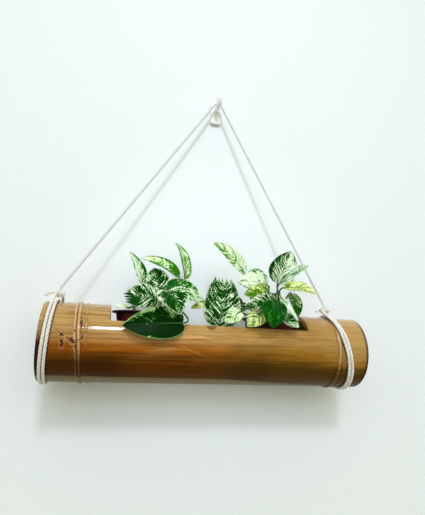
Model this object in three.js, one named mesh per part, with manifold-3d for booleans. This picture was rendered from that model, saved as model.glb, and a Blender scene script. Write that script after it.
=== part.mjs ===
// A hanging planter made from one length of bamboo. A slot cut in the top of the culm holds two
// nursery pots of variegated pothos, and a cotton rope lashed round both ends hangs it on a wall hook.
// Millimetres, +Z up, +X to the right, +Y into the wall.
// The origin is the middle of the pad's face that sticks to the wall.

import * as THREE from 'three';
import { mergeVertices } from 'three/addons/utils/BufferGeometryUtils.js';
import Module from 'manifold-3d';

const { degToRad } = THREE.MathUtils;
const vector = (x, y, z) => new THREE.Vector3(x, y, z);

// Fits: touching pieces keep this gap
const seatGap = 0.3;

// Culm: outer radius at its middle, and the radius lost per millimetre towards the right
const culmLength = 400;
const culmRadius = 45.6;
const culmTaper = 0.0036;
const culmWall = 7.5;
const culmEdgeBevel = 1.2;
const culmSides = 48;
const septumThickness = 5;
const leftNodeInset = 42;
const rightNodeInset = 40;
const nodeRidgeHeight = 1.5;
const nodeRidgeHalfWidth = 3.5;
const sheathScarHeight = 0.8;
const sheathScarOffset = 8;
const sheathScarHalfWidth = 2;

// Slot in the top of the culm, sawn along the grain at this angle each side of the top
const slotLength = 245;
const slotShift = -1.5;
const slotHalfAngle = degToRad(56);

// Nursery pots, standing on the floor of the culm at the two ends of the slot
const potBaseRadius = 23;
const potWall = 1.4;
const potFloor = 1.6;
const potRimAboveSlot = 13.5;
const potRimOverhang = 5;
const potRimThickness = 2;
const potSlotClearance = 0.9;
const potEndClearance = 1;
const potSides = 32;
const drainHoleRadius = 3;
const drainHoleCircle = 14;
const drainHoleCount = 5;
const drainHoleSides = 10;

// Soil in the pots
const soilBelowRim = 7;
const soilCrown = 2;
const soilShoulder = 5;
const soilSideGap = 0.4;

// Rope, its lashings and its knots
const ropeRadius = 2;
const ropeSides = 8;
const lashTurns = 2;
const lashPitch = 4.8;
const lashSteps = 24;
const lashSides = 6;
const knotRadius = 3.6;
const knotEndLength = 2.4;
const knotSides = 16;
const leftKnotInset = 13;
const leftLashSlant = -6;
const rightKnotInset = 38;
const rightLashSlant = 20;

// Hook: peg height above the culm's axis, and how far the culm's middle hangs left of the peg
const hangHeight = 360;
const balanceOffset = 8;
const padWidth = 14;
const padHeight = 35;
const padThickness = 1;
const plateMargin = 1;
const plateThickness = 2.6;
const plateCorner = 4;
const plateCornerSteps = 4;
const pegRadius = 3.8;
const pegSides = 16;
const pegRise = 3;
const pegToWall = 15;
const pegNose = 6;
const pegTipRise = 7;
const bightSteps = 8;

// Plants: stems, leaf stalks and leaf blades
const stemRadius = 2.4;
const stemSides = 8;
const stemSteps = 4;
const stalkRadius = 1.1;
const stalkSides = 5;
const stalkSteps = 5;
const stalkLap = 4;
const stalkArrival = 0.32;
const stalkDeparture = 0.35;
const bladeThickness = 0.9;
const bladeRows = 8;
const bladeRowCrowding = 1.5;
const bladeColumns = 4;
const bladeTipHalfWidth = 0.7;
const lobeShare = 0.16;
const baseWidthShare = 0.8;
const bladeSwell = 1.9;
const bladeTaper = 0.9;
const bladeCup = 0.22;
const bladeShoulder = 0.42;

// The large leaf that hangs over the front: its base and its tip, measured out from the culm's wall
const overhangBaseGap = 1;
const overhangTipGap = 5;

// Modelling: points closer than this are one point, a small share of a blade for finding its slope,
// and measuring points per step of a winding
const weldDistance = 1e-4;
const slopeShare = 1e-3;
const gapSamples = 6;

const wasm = await Module();
wasm.setup();

// Solids: a closed three.js geometry as a solid, and a solid as a geometry again

const solidOf = (geometry) => {
  const bare = geometry.index ? geometry.clone() : mergeVertices(geometry);
  bare.deleteAttribute('normal');
  bare.deleteAttribute('uv');
  const merged = mergeVertices(bare, weldDistance);
  return new wasm.Manifold(new wasm.Mesh({
    numProp: 3,
    vertProperties: new Float32Array(merged.attributes.position.array),
    triVerts: new Uint32Array(merged.index.array),
  }));
};

const geometryOf = (solid) => {
  const { vertProperties, triVerts } = solid.getMesh();
  const geometry = new THREE.BufferGeometry();
  geometry.setAttribute('position', new THREE.BufferAttribute(vertProperties, 3));
  geometry.setIndex(new THREE.BufferAttribute(triVerts, 1));
  geometry.computeVertexNormals();
  return geometry;
};

// A route through given points, with one step of a tube from each point to the next
class Route extends THREE.Curve {
  constructor(points) {
    super();
    this.points = points;
  }

  getPoint(t, target = vector(0, 0, 0)) {
    const last = this.points.length - 1;
    const index = Math.min(Math.floor(t * last), last - 1);
    return target.lerpVectors(this.points[index], this.points[index + 1], t * last - index);
  }

  getPointAt(u, target) {
    return this.getPoint(u, target);
  }

  getTangentAt(u, target = vector(0, 0, 0)) {
    const last = this.points.length - 1;
    const index = Math.round(u * last);
    const before = this.points[Math.max(index - 1, 0)];
    const here = this.points[index];
    const after = this.points[Math.min(index + 1, last)];
    const arriving = here.clone().sub(before).normalize();
    const leaving = after.clone().sub(here).normalize();
    return target.addVectors(arriving, leaving).normalize();
  }
}

const polygon = (radius, sides) => new THREE.Shape(
  Array.from({ length: sides }, (_, side) => {
    const angle = (side / sides) * 2 * Math.PI;
    return new THREE.Vector2(radius * Math.cos(angle), radius * Math.sin(angle));
  }),
);

const tube = (points, radius, sides) => new THREE.ExtrudeGeometry(polygon(radius, sides), {
  steps: points.length - 1,
  bevelEnabled: false,
  extrudePath: new Route(points),
});

// Turned pieces: a profile of [radius, height] pairs about the upright axis
const turned = (profile, sides) => {
  const points = profile.map(([radius, height]) => new THREE.Vector2(radius, height));
  return new THREE.LatheGeometry(points, sides).rotateX(Math.PI / 2);
};

// The same, about the culm's axis, as [radius, distance along X] pairs
const turnedAlongX = (profile, sides) => {
  const points = profile.map(([radius, along]) => new THREE.Vector2(radius, along));
  return new THREE.LatheGeometry(points, sides).rotateZ(-Math.PI / 2);
};

const piece = (name, geometry, material) => {
  const mesh = new THREE.Mesh(geometry, material);
  mesh.name = name;
  return mesh;
};

const finish = (color, roughness) => new THREE.MeshStandardMaterial({ color, roughness, metalness: 0 });
const bambooFinish = finish(0xb07a3c, 0.3);
const ropeFinish = finish(0xece6d6, 0.9);
const potFinish = finish(0x1c1416, 0.5);
const soilFinish = finish(0x3b2a1e, 1);
const hookFinish = finish(0xf4f5f3, 0.35);
const padFinish = finish(0xdddddd, 0.8);
const stemFinish = finish(0x7f9a55, 0.6);
const leafFinish = finish(0x4f8a45, 0.4);

// Culm

const leftEnd = -culmLength / 2;
const rightEnd = culmLength / 2;
const leftNode = leftEnd + leftNodeInset;
const rightNode = rightEnd - rightNodeInset;
const slotLeft = slotShift - slotLength / 2;
const slotRight = slotShift + slotLength / 2;

const bump = (distance, halfWidth) => Math.max(0, 1 - (distance / halfWidth) ** 2);

// Radius of the culm's bare wall, and the same with the ridge and sheath scar at each node
const wallRadius = (x) => culmRadius - culmTaper * x;
const boreRadius = (x) => wallRadius(x) - culmWall;
const outerRadius = (x) => {
  const ridge = Math.max(bump(x - leftNode, nodeRidgeHalfWidth), bump(x - rightNode, nodeRidgeHalfWidth));
  const scar = Math.max(
    bump(x - leftNode - sheathScarOffset, sheathScarHalfWidth),
    bump(x - rightNode - sheathScarOffset, sheathScarHalfWidth),
  );
  return wallRadius(x) + nodeRidgeHeight * ridge + sheathScarHeight * scar;
};

const ridgeStations = (node) => [
  node - nodeRidgeHalfWidth,
  node - nodeRidgeHalfWidth / 2,
  node,
  node + nodeRidgeHalfWidth / 2,
  node + nodeRidgeHalfWidth,
  node + sheathScarOffset - sheathScarHalfWidth,
  node + sheathScarOffset,
  node + sheathScarOffset + sheathScarHalfWidth,
];

const culmSolid = () => {
  const leftFace = leftNode - septumThickness / 2;
  const rightFace = rightNode + septumThickness / 2;
  const outside = [...ridgeStations(leftNode), 0, ...ridgeStations(rightNode)];
  const body = solidOf(turnedAlongX([
    [0, leftFace],
    [boreRadius(leftFace), leftFace],
    [boreRadius(leftEnd), leftEnd],
    [wallRadius(leftEnd) - culmEdgeBevel, leftEnd],
    [wallRadius(leftEnd), leftEnd + culmEdgeBevel],
    ...outside.map((x) => [outerRadius(x), x]),
    [wallRadius(rightEnd), rightEnd - culmEdgeBevel],
    [wallRadius(rightEnd) - culmEdgeBevel, rightEnd],
    [boreRadius(rightEnd), rightEnd],
    [boreRadius(rightFace), rightFace],
    [0, rightFace],
  ], culmSides));

  const chamberLeft = leftNode + septumThickness / 2;
  const chamberRight = rightNode - septumThickness / 2;
  const chamber = solidOf(turnedAlongX([
    [0, chamberLeft],
    [boreRadius(chamberLeft), chamberLeft],
    [boreRadius(chamberRight), chamberRight],
    [0, chamberRight],
  ], culmSides));

  // A wedge from the axis outwards leaves the sawn edges square to the wall
  const reach = 2 * culmRadius;
  const wedge = new THREE.Shape([
    new THREE.Vector2(0, 0),
    new THREE.Vector2(reach * Math.sin(slotHalfAngle), reach * Math.cos(slotHalfAngle)),
    new THREE.Vector2(reach * Math.sin(slotHalfAngle), reach),
    new THREE.Vector2(-reach * Math.sin(slotHalfAngle), reach),
    new THREE.Vector2(-reach * Math.sin(slotHalfAngle), reach * Math.cos(slotHalfAngle)),
  ]);
  const acrossToY = new THREE.Matrix4().makeBasis(vector(0, 1, 0), vector(0, 0, 1), vector(1, 0, 0));
  const slot = solidOf(
    new THREE.ExtrudeGeometry(wedge, { depth: slotLength, bevelEnabled: false })
      .translate(0, 0, slotLeft)
      .applyMatrix4(acrossToY),
  );
  return body.subtract(chamber).subtract(slot);
};

// Pots and soil

const slotEdgeHeight = culmRadius * Math.cos(slotHalfAngle);
const potRimTop = slotEdgeHeight + potRimAboveSlot;
const soilTop = potRimTop - soilBelowRim;

// The side of a pot is a cone that passes the slot's inner edge with its clearance
const potShape = (centre) => {
  const bore = boreRadius(centre + potBaseRadius);
  const base = -Math.sqrt((bore - seatGap) ** 2 - potBaseRadius ** 2) + seatGap;
  const edgeHeight = bore * Math.cos(slotHalfAngle);
  const edgeRadius = bore * Math.sin(slotHalfAngle) - potSlotClearance;
  const slope = (edgeRadius - potBaseRadius) / (edgeHeight - base);
  const sideRadius = (height) => potBaseRadius + slope * (height - base);
  return { base, sideRadius, rimRadius: sideRadius(potRimTop) + potRimOverhang };
};

const rimReach = potShape(0).rimRadius + potEndClearance;
const leftPotCentre = slotLeft + rimReach;
const rightPotCentre = slotRight - rimReach;

const potSolid = (centre) => {
  const { base, sideRadius, rimRadius } = potShape(centre);
  const lip = potRimTop - potRimThickness;
  const floor = base + potFloor;
  const cup = solidOf(turned([
    [0, base],
    [potBaseRadius, base],
    [sideRadius(lip), lip],
    [rimRadius, lip],
    [rimRadius, potRimTop],
    [sideRadius(potRimTop) - potWall, potRimTop],
    [sideRadius(floor) - potWall, floor],
    [0, floor],
  ], potSides));
  const hole = new THREE.CylinderGeometry(drainHoleRadius, drainHoleRadius, 3 * potFloor, drainHoleSides)
    .rotateX(Math.PI / 2)
    .translate(drainHoleCircle, 0, base + potFloor / 2);
  const turn = (2 * Math.PI) / drainHoleCount;
  const holes = Array.from({ length: drainHoleCount }, (_, index) => hole.clone().rotateZ(index * turn));
  return holes.reduce((solid, each) => solid.subtract(solidOf(each)), cup);
};

const soilGeometry = (centre) => {
  const { base, sideRadius } = potShape(centre);
  const bottom = base + potFloor + seatGap;
  const insideRadius = (height) => sideRadius(height) - potWall - soilSideGap;
  return turned([
    [0, bottom],
    [insideRadius(bottom), bottom],
    [insideRadius(soilTop - soilCrown), soilTop - soilCrown],
    [insideRadius(soilTop) - soilShoulder, soilTop],
    [0, soilTop],
  ], potSides);
};

// Rope

const leftKnotX = leftEnd + leftKnotInset;
const rightKnotX = rightEnd - rightKnotInset;

// Distance of the lashing's centre line from the culm's axis where it crosses the culm at x
const lashRadius = (x) => {
  const under = Math.max(outerRadius(x - ropeRadius), outerRadius(x), outerRadius(x + ropeRadius));
  return (under + seatGap) / Math.cos(Math.PI / lashSteps) + ropeRadius;
};

// Both knots lie on one level line, each resting on the middle turn of its lashing
const knotHeight = Math.max(lashRadius(leftKnotX), lashRadius(rightKnotX))
  + ropeRadius + seatGap + knotRadius;

const lashRoute = (knotX, slant) => {
  const along = (angle) => knotX + slant * (1 - Math.cos(angle)) / 2
    + lashPitch * (angle / (2 * Math.PI) - lashTurns / 2);
  const onCulm = (angle) => {
    const x = along(angle);
    const radius = lashRadius(x);
    return vector(x, -radius * Math.sin(angle), radius * Math.cos(angle));
  };
  const leave = Math.acos(lashRadius(knotX) / knotHeight);
  const whole = lashTurns * 2 * Math.PI;
  const step = (2 * Math.PI) / lashSteps;
  const firstStep = Math.ceil((leave + step / 2) / step);
  const lastStep = Math.floor((whole - leave - step / 2) / step);
  const inner = [];
  for (let index = firstStep; index <= lastStep; index += 1) {
    inner.push(onCulm(index * step));
  }
  const halfWidth = lashPitch * lashTurns / 2;
  const endAt = (angle, x) => {
    const outward = vector(0, -Math.sign(Math.sin(angle)) * Math.cos(leave), -Math.sin(leave));
    const end = vector(x, 0, knotHeight).addScaledVector(outward, knotRadius + seatGap);
    const straight = end.clone().addScaledVector(outward, 2 * ropeRadius);
    return [end, straight];
  };
  const [frontEnd, frontStraight] = endAt(leave, knotX - halfWidth);
  const [backEnd, backStraight] = endAt(-leave, knotX + halfWidth);
  return [
    frontEnd,
    frontStraight,
    onCulm(leave),
    ...inner,
    onCulm(whole - leave),
    backStraight,
    backEnd,
  ];
};

// Least gap between the turns of a winding, where points within a quarter turn are neighbours
const leastGap = (points, radius) => {
  const fine = points.slice(1).flatMap((point, index) => (
    Array.from({ length: gapSamples }, (_, part) => points[index].clone().lerp(point, part / gapSamples))
  ));
  const near = gapSamples * lashSteps / 4;
  let least = Infinity;
  for (let i = 0; i < fine.length; i += 1) {
    for (let j = i + near; j < fine.length; j += 1) {
      least = Math.min(least, fine[i].distanceTo(fine[j]));
    }
  }
  return least - 2 * radius;
};

const knotGeometry = (knotX) => {
  const halfLength = lashPitch * lashTurns / 2 + ropeRadius;
  const crown = knotRadius / 2;
  return turnedAlongX([
    [0, -halfLength - knotEndLength],
    [crown, -halfLength - knotEndLength],
    [knotRadius, -halfLength],
    [knotRadius, halfLength],
    [crown, halfLength + knotEndLength],
    [0, halfLength + knotEndLength],
  ], knotSides).translate(knotX, 0, knotHeight);
};

const wallY = Math.max(
  lashRadius(leftKnotX + leftLashSlant / 2),
  lashRadius(rightKnotX + rightLashSlant / 2),
) + ropeRadius + seatGap;
const peg = vector(balanceOffset, wallY - pegToWall, hangHeight);
const bightRadius = pegRadius + seatGap + ropeRadius;

// Angle round the peg, from +X towards +Z, where a straight leg from a knot meets the bight
const bightAngle = (knotX, side) => {
  const dx = knotX - peg.x;
  const dz = knotHeight - peg.z;
  return Math.atan2(dz, dx) + side * Math.acos(bightRadius / Math.hypot(dx, dz));
};

const hangerRoute = () => {
  const rise = vector(0, peg.y, peg.z - knotHeight).normalize();
  const start = (knotX) => vector(knotX, 0, knotHeight).addScaledVector(rise, knotRadius + seatGap);
  const straight = (knotX) => start(knotX).addScaledVector(rise, 2 * ropeRadius);
  const first = bightAngle(leftKnotX, -1) + 2 * Math.PI;
  const last = bightAngle(rightKnotX, 1);
  const bight = Array.from({ length: bightSteps + 1 }, (_, step) => {
    const angle = first + (last - first) * step / bightSteps;
    return vector(
      peg.x + bightRadius * Math.cos(angle),
      peg.y,
      peg.z + bightRadius * Math.sin(angle),
    );
  });
  return [
    start(leftKnotX),
    straight(leftKnotX),
    ...bight,
    straight(rightKnotX),
    start(rightKnotX),
  ];
};

// Wall hook and its pad, in the wall's frame

const roundedPlate = (width, height, corner, thickness) => {
  const shape = new THREE.Shape();
  const right = width / 2 - corner;
  const top = height / 2 - corner;
  shape.absarc(right, top, corner, 0, Math.PI / 2);
  shape.absarc(-right, top, corner, Math.PI / 2, Math.PI);
  shape.absarc(-right, -top, corner, Math.PI, 1.5 * Math.PI);
  shape.absarc(right, -top, corner, 1.5 * Math.PI, 2 * Math.PI);
  return new THREE.ExtrudeGeometry(shape, {
    depth: thickness,
    bevelEnabled: false,
    curveSegments: plateCornerSteps,
  }).rotateX(Math.PI / 2);
};

const hookSolid = () => {
  const plateBack = -padThickness - seatGap;
  const plate = roundedPlate(
    padWidth + 2 * plateMargin,
    padHeight + 2 * plateMargin,
    plateCorner,
    plateThickness,
  ).translate(0, plateBack, 0);
  const noseY = -pegToWall - ropeRadius - pegNose / 2;
  const arm = tube([
    vector(0, plateBack - plateThickness / 2, pegRise),
    vector(0, noseY, pegRise),
    vector(0, noseY - pegNose / 2, pegRise + pegNose / 4),
    vector(0, noseY - pegNose, pegRise + pegNose / 2 + pegTipRise / 2),
    vector(0, noseY - pegNose, pegRise + pegNose / 2 + pegTipRise),
  ], pegRadius, pegSides);
  return solidOf(plate).add(solidOf(arm));
};

const padGeometry = roundedPlate(padWidth, padHeight, plateCorner - plateMargin, padThickness);
const hook = new THREE.Group();
hook.add(
  piece('adhesive_pad', padGeometry, padFinish),
  piece('wall_hook', geometryOf(hookSolid()), hookFinish),
);

// Plants. Each is drawn from the middle of the soil's top, with stems as a foot [x, y], a lean
// [x, y] and a height. A leaf has its stem, the height of its stalk on that stem, the point where the
// stalk meets the blade, the blade's tip, the way its upper side looks, its width and its arch.

const overhangBase = -culmRadius - overhangBaseGap;
const overhangTip = -culmRadius - overhangTipGap;

const leftStems = [
  { foot: [-12, 6], lean: [4, -2], height: 32 },
  { foot: [10, -8], lean: [6, -4], height: 36 },
  { foot: [18, 10], lean: [14, 2], height: 46 },
];

const leftLeaves = [
  {
    stem: 0, from: 27, base: [-4, -2, 43], tip: [-22, 6, 84],
    faces: [0.7, -0.7, 0.2], width: 20, arch: 3,
  },
  {
    stem: 2, from: 36, base: [41, 0, 56], tip: [-8, -6, 75],
    faces: [0.3, -0.8, 0.5], width: 18, arch: 8,
  },
  {
    stem: 2, from: 44, base: [53, 19, 57], tip: [38, 20, 105],
    faces: [0.7, -0.7, 0.1], width: 20, arch: 7,
  },
  {
    stem: 0, from: 20, base: [18, -6, 35], tip: [10, 6, 65],
    faces: [-0.2, -1, 0.4], width: 28, arch: 4,
  },
  {
    stem: 1, from: 12, base: [11, -27, 23], tip: [-28, -26, 23],
    faces: [-0.1, -1, 0.3], width: 30, arch: 3,
  },
  {
    stem: 1, from: 27, base: [24, -42, 31], tip: [37, -62, 3],
    faces: [0, -0.8, 0.6], width: 38, arch: 5,
  },
  {
    stem: 1, from: 33, base: [25, -22, 39], tip: [71, -20, 25],
    faces: [0.1, -0.9, 0.4], width: 27, arch: 5,
  },
  {
    stem: 2, from: 24, base: [43, overhangBase, -6], tip: [-25, overhangTip, -12],
    faces: [0, -1, 0.2], width: 38, arch: 3,
  },
  {
    stem: 0, from: 14, base: [-21, -13, 10.5], tip: [-36, -15, 10],
    faces: [0, -0.5, 0.9], width: 11, arch: 2,
  },
];

const rightStems = [
  { foot: [-16, 6], lean: [-10, 2], height: 42 },
  { foot: [2, -10], lean: [-2, -4], height: 34 },
  { foot: [14, 6], lean: [2, -2], height: 46 },
];

const rightLeaves = [
  {
    stem: 0, from: 26, base: [-74, -22, -8], tip: [-70, -18, 56],
    faces: [0.05, -1, 0.15], width: 47, arch: 4,
  },
  {
    stem: 0, from: 40, base: [-36, 4, 69], tip: [-81, -4, 104],
    faces: [0.3, -0.9, 0.3], width: 24, arch: 6,
  },
  {
    stem: 0, from: 33, base: [-6, -9, 51], tip: [-48, -12, 53],
    faces: [0, -0.9, 0.4], width: 37, arch: 4,
  },
  {
    stem: 2, from: 44, base: [10, -5, 57], tip: [25, -16, 99],
    faces: [-0.2, -1, 0.3], width: 36, arch: 4,
  },
  {
    stem: 2, from: 36, base: [9, -15, 54], tip: [42, -32, 78],
    faces: [-0.3, -0.8, 0.5], width: 16, arch: 4,
  },
  {
    stem: 2, from: 27, base: [9, -33, 46], tip: [48, -44, 39],
    faces: [0.2, -0.7, 0.7], width: 24, arch: 4,
  },
  {
    stem: 1, from: 29, base: [-14, -32, 39], tip: [-46, -34, 34],
    faces: [0, -0.9, 0.3], width: 20, arch: 3,
  },
  {
    stem: 2, from: 31.5, base: [-17, -56, 25], tip: [-16.5, -59, -7],
    faces: [0, -1, 0.3], width: 31, arch: 4,
  },
  {
    stem: 1, from: 23, base: [-6, -41.5, 26], tip: [-47, -42.5, 18],
    faces: [0, -0.9, 0.4], width: 22, arch: 3,
  },
  {
    stem: 0, from: 18, base: [-50, -34, 12], tip: [-70, -36, -2],
    faces: [-0.2, -1, 0.3], width: 18, arch: 2,
  },
  {
    stem: 1, from: 14, base: [-25, -42, 13], tip: [-43, -42, -6],
    faces: [0, -1, 0.4], width: 22, arch: 3,
  },
  {
    stem: 1, from: 18, base: [23, -20, 40], tip: [30, -26, 11],
    faces: [0.3, -1, 0.3], width: 20, arch: 2,
  },
  {
    stem: 2, from: 12, base: [-1, -45, 8], tip: [21, -48, -4],
    faces: [0, -0.9, 0.5], width: 17, arch: 2,
  },
  {
    stem: 0, from: 12, base: [-82, -4, 22], tip: [-107, -6, 15],
    faces: [0, -0.7, 0.7], width: 13, arch: 2,
  },
  {
    stem: 0, from: 22, base: [-32, 17, 28], tip: [-58, 15, 15],
    faces: [0, -1, 0.2], width: 26, arch: 3,
  },
  {
    stem: 2, from: 22, base: [-5, -51, 32], tip: [18, -52, 4],
    faces: [0.3, -1, 0.3], width: 7, arch: 1,
  },
];

// A blade is a heart-shaped sheet: rows run from its base to its tip, columns across it
const bladeGeometry = (base, tip, faces, width, arch) => {
  const length = base.distanceTo(tip);
  const forward = tip.clone().sub(base).normalize();
  const upward = faces.clone().addScaledVector(forward, -faces.dot(forward)).normalize();
  const sideways = forward.clone().cross(upward);
  const shoulder = (u) => Math.sqrt(1 - (1 - Math.min(u / bladeShoulder, 1)) ** 2);
  const halfWidth = (u) => bladeTipHalfWidth
    + (width / 2) * (1 - u) ** bladeTaper * (baseWidthShare + bladeSwell * u) * shoulder(u);
  const middle = (u, v) => base.clone()
    .addScaledVector(forward, length * (u - lobeShare * v * v * (1 - u) ** 3 * shoulder(u)))
    .addScaledVector(sideways, halfWidth(u) * v)
    .addScaledVector(upward, arch * 4 * u * (1 - u) + bladeCup * halfWidth(u) * v * v);
  const normalAt = (u, v) => {
    const down = middle(u + slopeShare, v).sub(middle(u - slopeShare, v));
    const across = middle(u, v + slopeShare).sub(middle(u, v - slopeShare));
    return across.cross(down).normalize();
  };

  const positions = [];
  const row = bladeColumns + 1;
  const layer = row * (bladeRows + 1);
  for (const offset of [bladeThickness / 2, -bladeThickness / 2]) {
    for (let i = 0; i <= bladeRows; i += 1) {
      for (let j = 0; j <= bladeColumns; j += 1) {
        const share = (i / bladeRows) ** bladeRowCrowding;
        const u = Math.min(Math.max(share, slopeShare), 1 - slopeShare);
        const v = (2 * j) / bladeColumns - 1;
        positions.push(...middle(u, v).addScaledVector(normalAt(u, v), offset).toArray());
      }
    }
  }

  const indices = [];
  const quad = (a, b, c, d) => indices.push(a, b, c, a, c, d);
  for (let i = 0; i < bladeRows; i += 1) {
    for (let j = 0; j < bladeColumns; j += 1) {
      const a = i * row + j;
      quad(a, a + 1, a + row + 1, a + row);
      quad(layer + a, layer + a + row, layer + a + row + 1, layer + a + 1);
    }
  }
  for (let i = 0; i < bladeRows; i += 1) {
    const left = i * row;
    const right = left + bladeColumns;
    quad(left, left + row, layer + left + row, layer + left);
    quad(right + row, right, layer + right, layer + right + row);
  }
  for (let j = 0; j < bladeColumns; j += 1) {
    const end = bladeRows * row + j;
    quad(j + 1, j, layer + j, layer + j + 1);
    quad(end, end + 1, layer + end + 1, layer + end);
  }
  const geometry = new THREE.BufferGeometry();
  geometry.setAttribute('position', new THREE.Float32BufferAttribute(positions, 3));
  geometry.setIndex(indices);
  return geometry;
};

const stemRoute = ({ foot, lean, height }) => Array.from({ length: stemSteps + 1 }, (_, step) => {
  const share = step / stemSteps;
  return vector(
    foot[0] + lean[0] * share ** 2,
    foot[1] + lean[1] * share ** 2,
    seatGap + (height - seatGap) * share,
  );
});

const leafSolid = (stem, leaf) => {
  const base = vector(...leaf.base);
  const tip = vector(...leaf.tip);
  const forward = tip.clone().sub(base).normalize();
  const route = new Route(stemRoute(stem));
  const share = leaf.from / stem.height;
  const onStem = route.getPoint(share);
  const grain = route.getTangentAt(share);
  const outward = base.clone().sub(onStem);
  outward.addScaledVector(grain, -outward.dot(grain)).normalize();
  const foot = onStem.clone().addScaledVector(outward, stemRadius + seatGap);
  const start = foot.clone().addScaledVector(outward, 2 * stalkRadius);
  const reach = base.distanceTo(start);
  const curve = new THREE.CubicBezierCurve3(
    start,
    start.clone().addScaledVector(outward, reach * stalkDeparture),
    base.clone().addScaledVector(forward, -reach * stalkArrival),
    base,
  );
  const lap = base.clone().addScaledVector(forward, stalkLap);
  const stalk = tube([foot, ...curve.getPoints(stalkSteps), lap], stalkRadius, stalkSides);
  const blade = bladeGeometry(base, tip, vector(...leaf.faces), leaf.width, leaf.arch);
  return solidOf(blade).add(solidOf(stalk));
};

const plant = (side, stems, leaves) => {
  const group = new THREE.Group();
  stems.forEach((stem, index) => {
    group.add(piece(`${side}_stem_${index + 1}`, tube(stemRoute(stem), stemRadius, stemSides), stemFinish));
  });
  leaves.forEach((leaf, index) => {
    const solid = leafSolid(stems[leaf.stem], leaf);
    group.add(piece(`${side}_leaf_${index + 1}`, geometryOf(solid), leafFinish));
  });
  group.position.z = soilTop;
  return group;
};

const pottedPlant = (side, centre, stems, leaves) => {
  const group = new THREE.Group();
  group.add(
    piece(`${side}_pot`, geometryOf(potSolid(centre)), potFinish),
    piece(`${side}_soil`, soilGeometry(centre), soilFinish),
    plant(side, stems, leaves),
  );
  group.position.x = centre;
  return group;
};

// Assembly

const leftLash = lashRoute(leftKnotX, leftLashSlant);
const rightLash = lashRoute(rightKnotX, rightLashSlant);
console.log(`left lashing: least gap ${leastGap(leftLash, ropeRadius).toFixed(2)} mm`);
console.log(`right lashing: least gap ${leastGap(rightLash, ropeRadius).toFixed(2)} mm`);

const hanging = new THREE.Group();
hanging.add(
  piece('culm', geometryOf(culmSolid()), bambooFinish),
  piece('left_lashing', tube(leftLash, ropeRadius, lashSides), ropeFinish),
  piece('right_lashing', tube(rightLash, ropeRadius, lashSides), ropeFinish),
  piece('left_knot', knotGeometry(leftKnotX), ropeFinish),
  piece('right_knot', knotGeometry(rightKnotX), ropeFinish),
  piece('hanging_rope', tube(hangerRoute(), ropeRadius, ropeSides), ropeFinish),
  pottedPlant('left', leftPotCentre, leftStems, leftLeaves),
  pottedPlant('right', rightPotCentre, rightStems, rightLeaves),
);
hanging.position.set(-balanceOffset, -wallY, pegRise - hangHeight);

const planter = new THREE.Group();
planter.add(hook, hanging);

export default planter;
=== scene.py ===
import random
from math import acos, atan2, ceil, cos, degrees, exp, hypot, pi, radians, sin, sqrt

import bmesh
import bpy
from mathutils import Matrix, Vector, noise
from mathutils.geometry import interpolate_bezier


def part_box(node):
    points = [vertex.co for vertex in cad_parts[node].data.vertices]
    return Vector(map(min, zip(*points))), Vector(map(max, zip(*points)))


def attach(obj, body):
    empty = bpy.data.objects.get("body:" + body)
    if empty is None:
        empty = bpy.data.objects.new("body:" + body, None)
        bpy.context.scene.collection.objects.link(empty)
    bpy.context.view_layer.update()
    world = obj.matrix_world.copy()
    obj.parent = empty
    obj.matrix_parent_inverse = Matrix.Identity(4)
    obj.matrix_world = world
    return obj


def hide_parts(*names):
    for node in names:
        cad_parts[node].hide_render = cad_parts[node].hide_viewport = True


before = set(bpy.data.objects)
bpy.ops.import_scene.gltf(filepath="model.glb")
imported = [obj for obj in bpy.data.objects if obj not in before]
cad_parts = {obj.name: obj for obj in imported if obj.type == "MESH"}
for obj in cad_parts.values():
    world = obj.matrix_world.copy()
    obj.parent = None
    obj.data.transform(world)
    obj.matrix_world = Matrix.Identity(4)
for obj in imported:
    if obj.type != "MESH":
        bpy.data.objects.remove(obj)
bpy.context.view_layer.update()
random.seed(7)
print("frame loaded:", len(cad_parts), "nodes")

mm = 0.001
sides = ("left", "right")


def middleOf(node):
    low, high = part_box(node)
    return (low + high) / 2


# the culm's axis and ends are read from the frame
culm = {
    "left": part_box("culm")[0].x, "right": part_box("culm")[1].x, "axis": middleOf("culm"),
    "radius": 45.6 * mm, "taper": 0.0036, "wall": 7.5 * mm,
    "unround": 0.3 * mm, "unroundScale": Vector((14, 1.7, 1.7)),  # noise along and round
    "septum": 5 * mm, "dishEdge": 6 * mm, "chamberCentre": 0.3,
    "dish": ((1.4, 0.2), (1.1, 0.55), (0.4, 0.8), (-1.0, 0.93), (-3.0, 0.985)),  # depth in mm, share of bore
    "nodeInsets": (42 * mm, 40 * mm),
    "nodeSpan": (5 * mm, 11.5 * mm),  # of the ridge and sheath scar, before and after the node
    "ridgeHeight": 1.5 * mm, "ridgeHalfWidth": 3.5 * mm,
    "scarHeight": 0.8 * mm, "scarOffset": 8 * mm, "scarHalfWidth": 2 * mm,
    "leanReach": (12 * mm, 25 * mm),  # from a leaning node: the lean is whole, and it is gone
    "slot": (-124 * mm, 121 * mm), "slotHalfAngle": 56, "slotSteps": 36,
    "steps": 180, "sharpAngle": 60, "edgeBevel": 1.2 * mm,
    "skinFacing": 0.75, "skinDepth": 0.8, "innerDepth": 0.6 * mm,  # tell skin, sawn and inner faces apart
}
axis = culm["axis"]
leftNode = culm["left"] + culm["nodeInsets"][0]
rightNode = culm["right"] - culm["nodeInsets"][1]


# handling objects and meshes

def deselect():
    if bpy.context.object and bpy.context.object.mode != "OBJECT":
        bpy.ops.object.mode_set(mode="OBJECT")
    bpy.ops.object.select_all(action="DESELECT")


def only(piece):
    deselect()
    piece.select_set(True)
    bpy.context.view_layer.objects.active = piece
    return piece


def named(name):
    piece = bpy.context.object
    piece.name = name
    piece.data.name = name
    return piece


def linked(name, data):
    piece = bpy.data.objects.new(name, data)
    bpy.context.scene.collection.objects.link(piece)
    return piece


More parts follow.
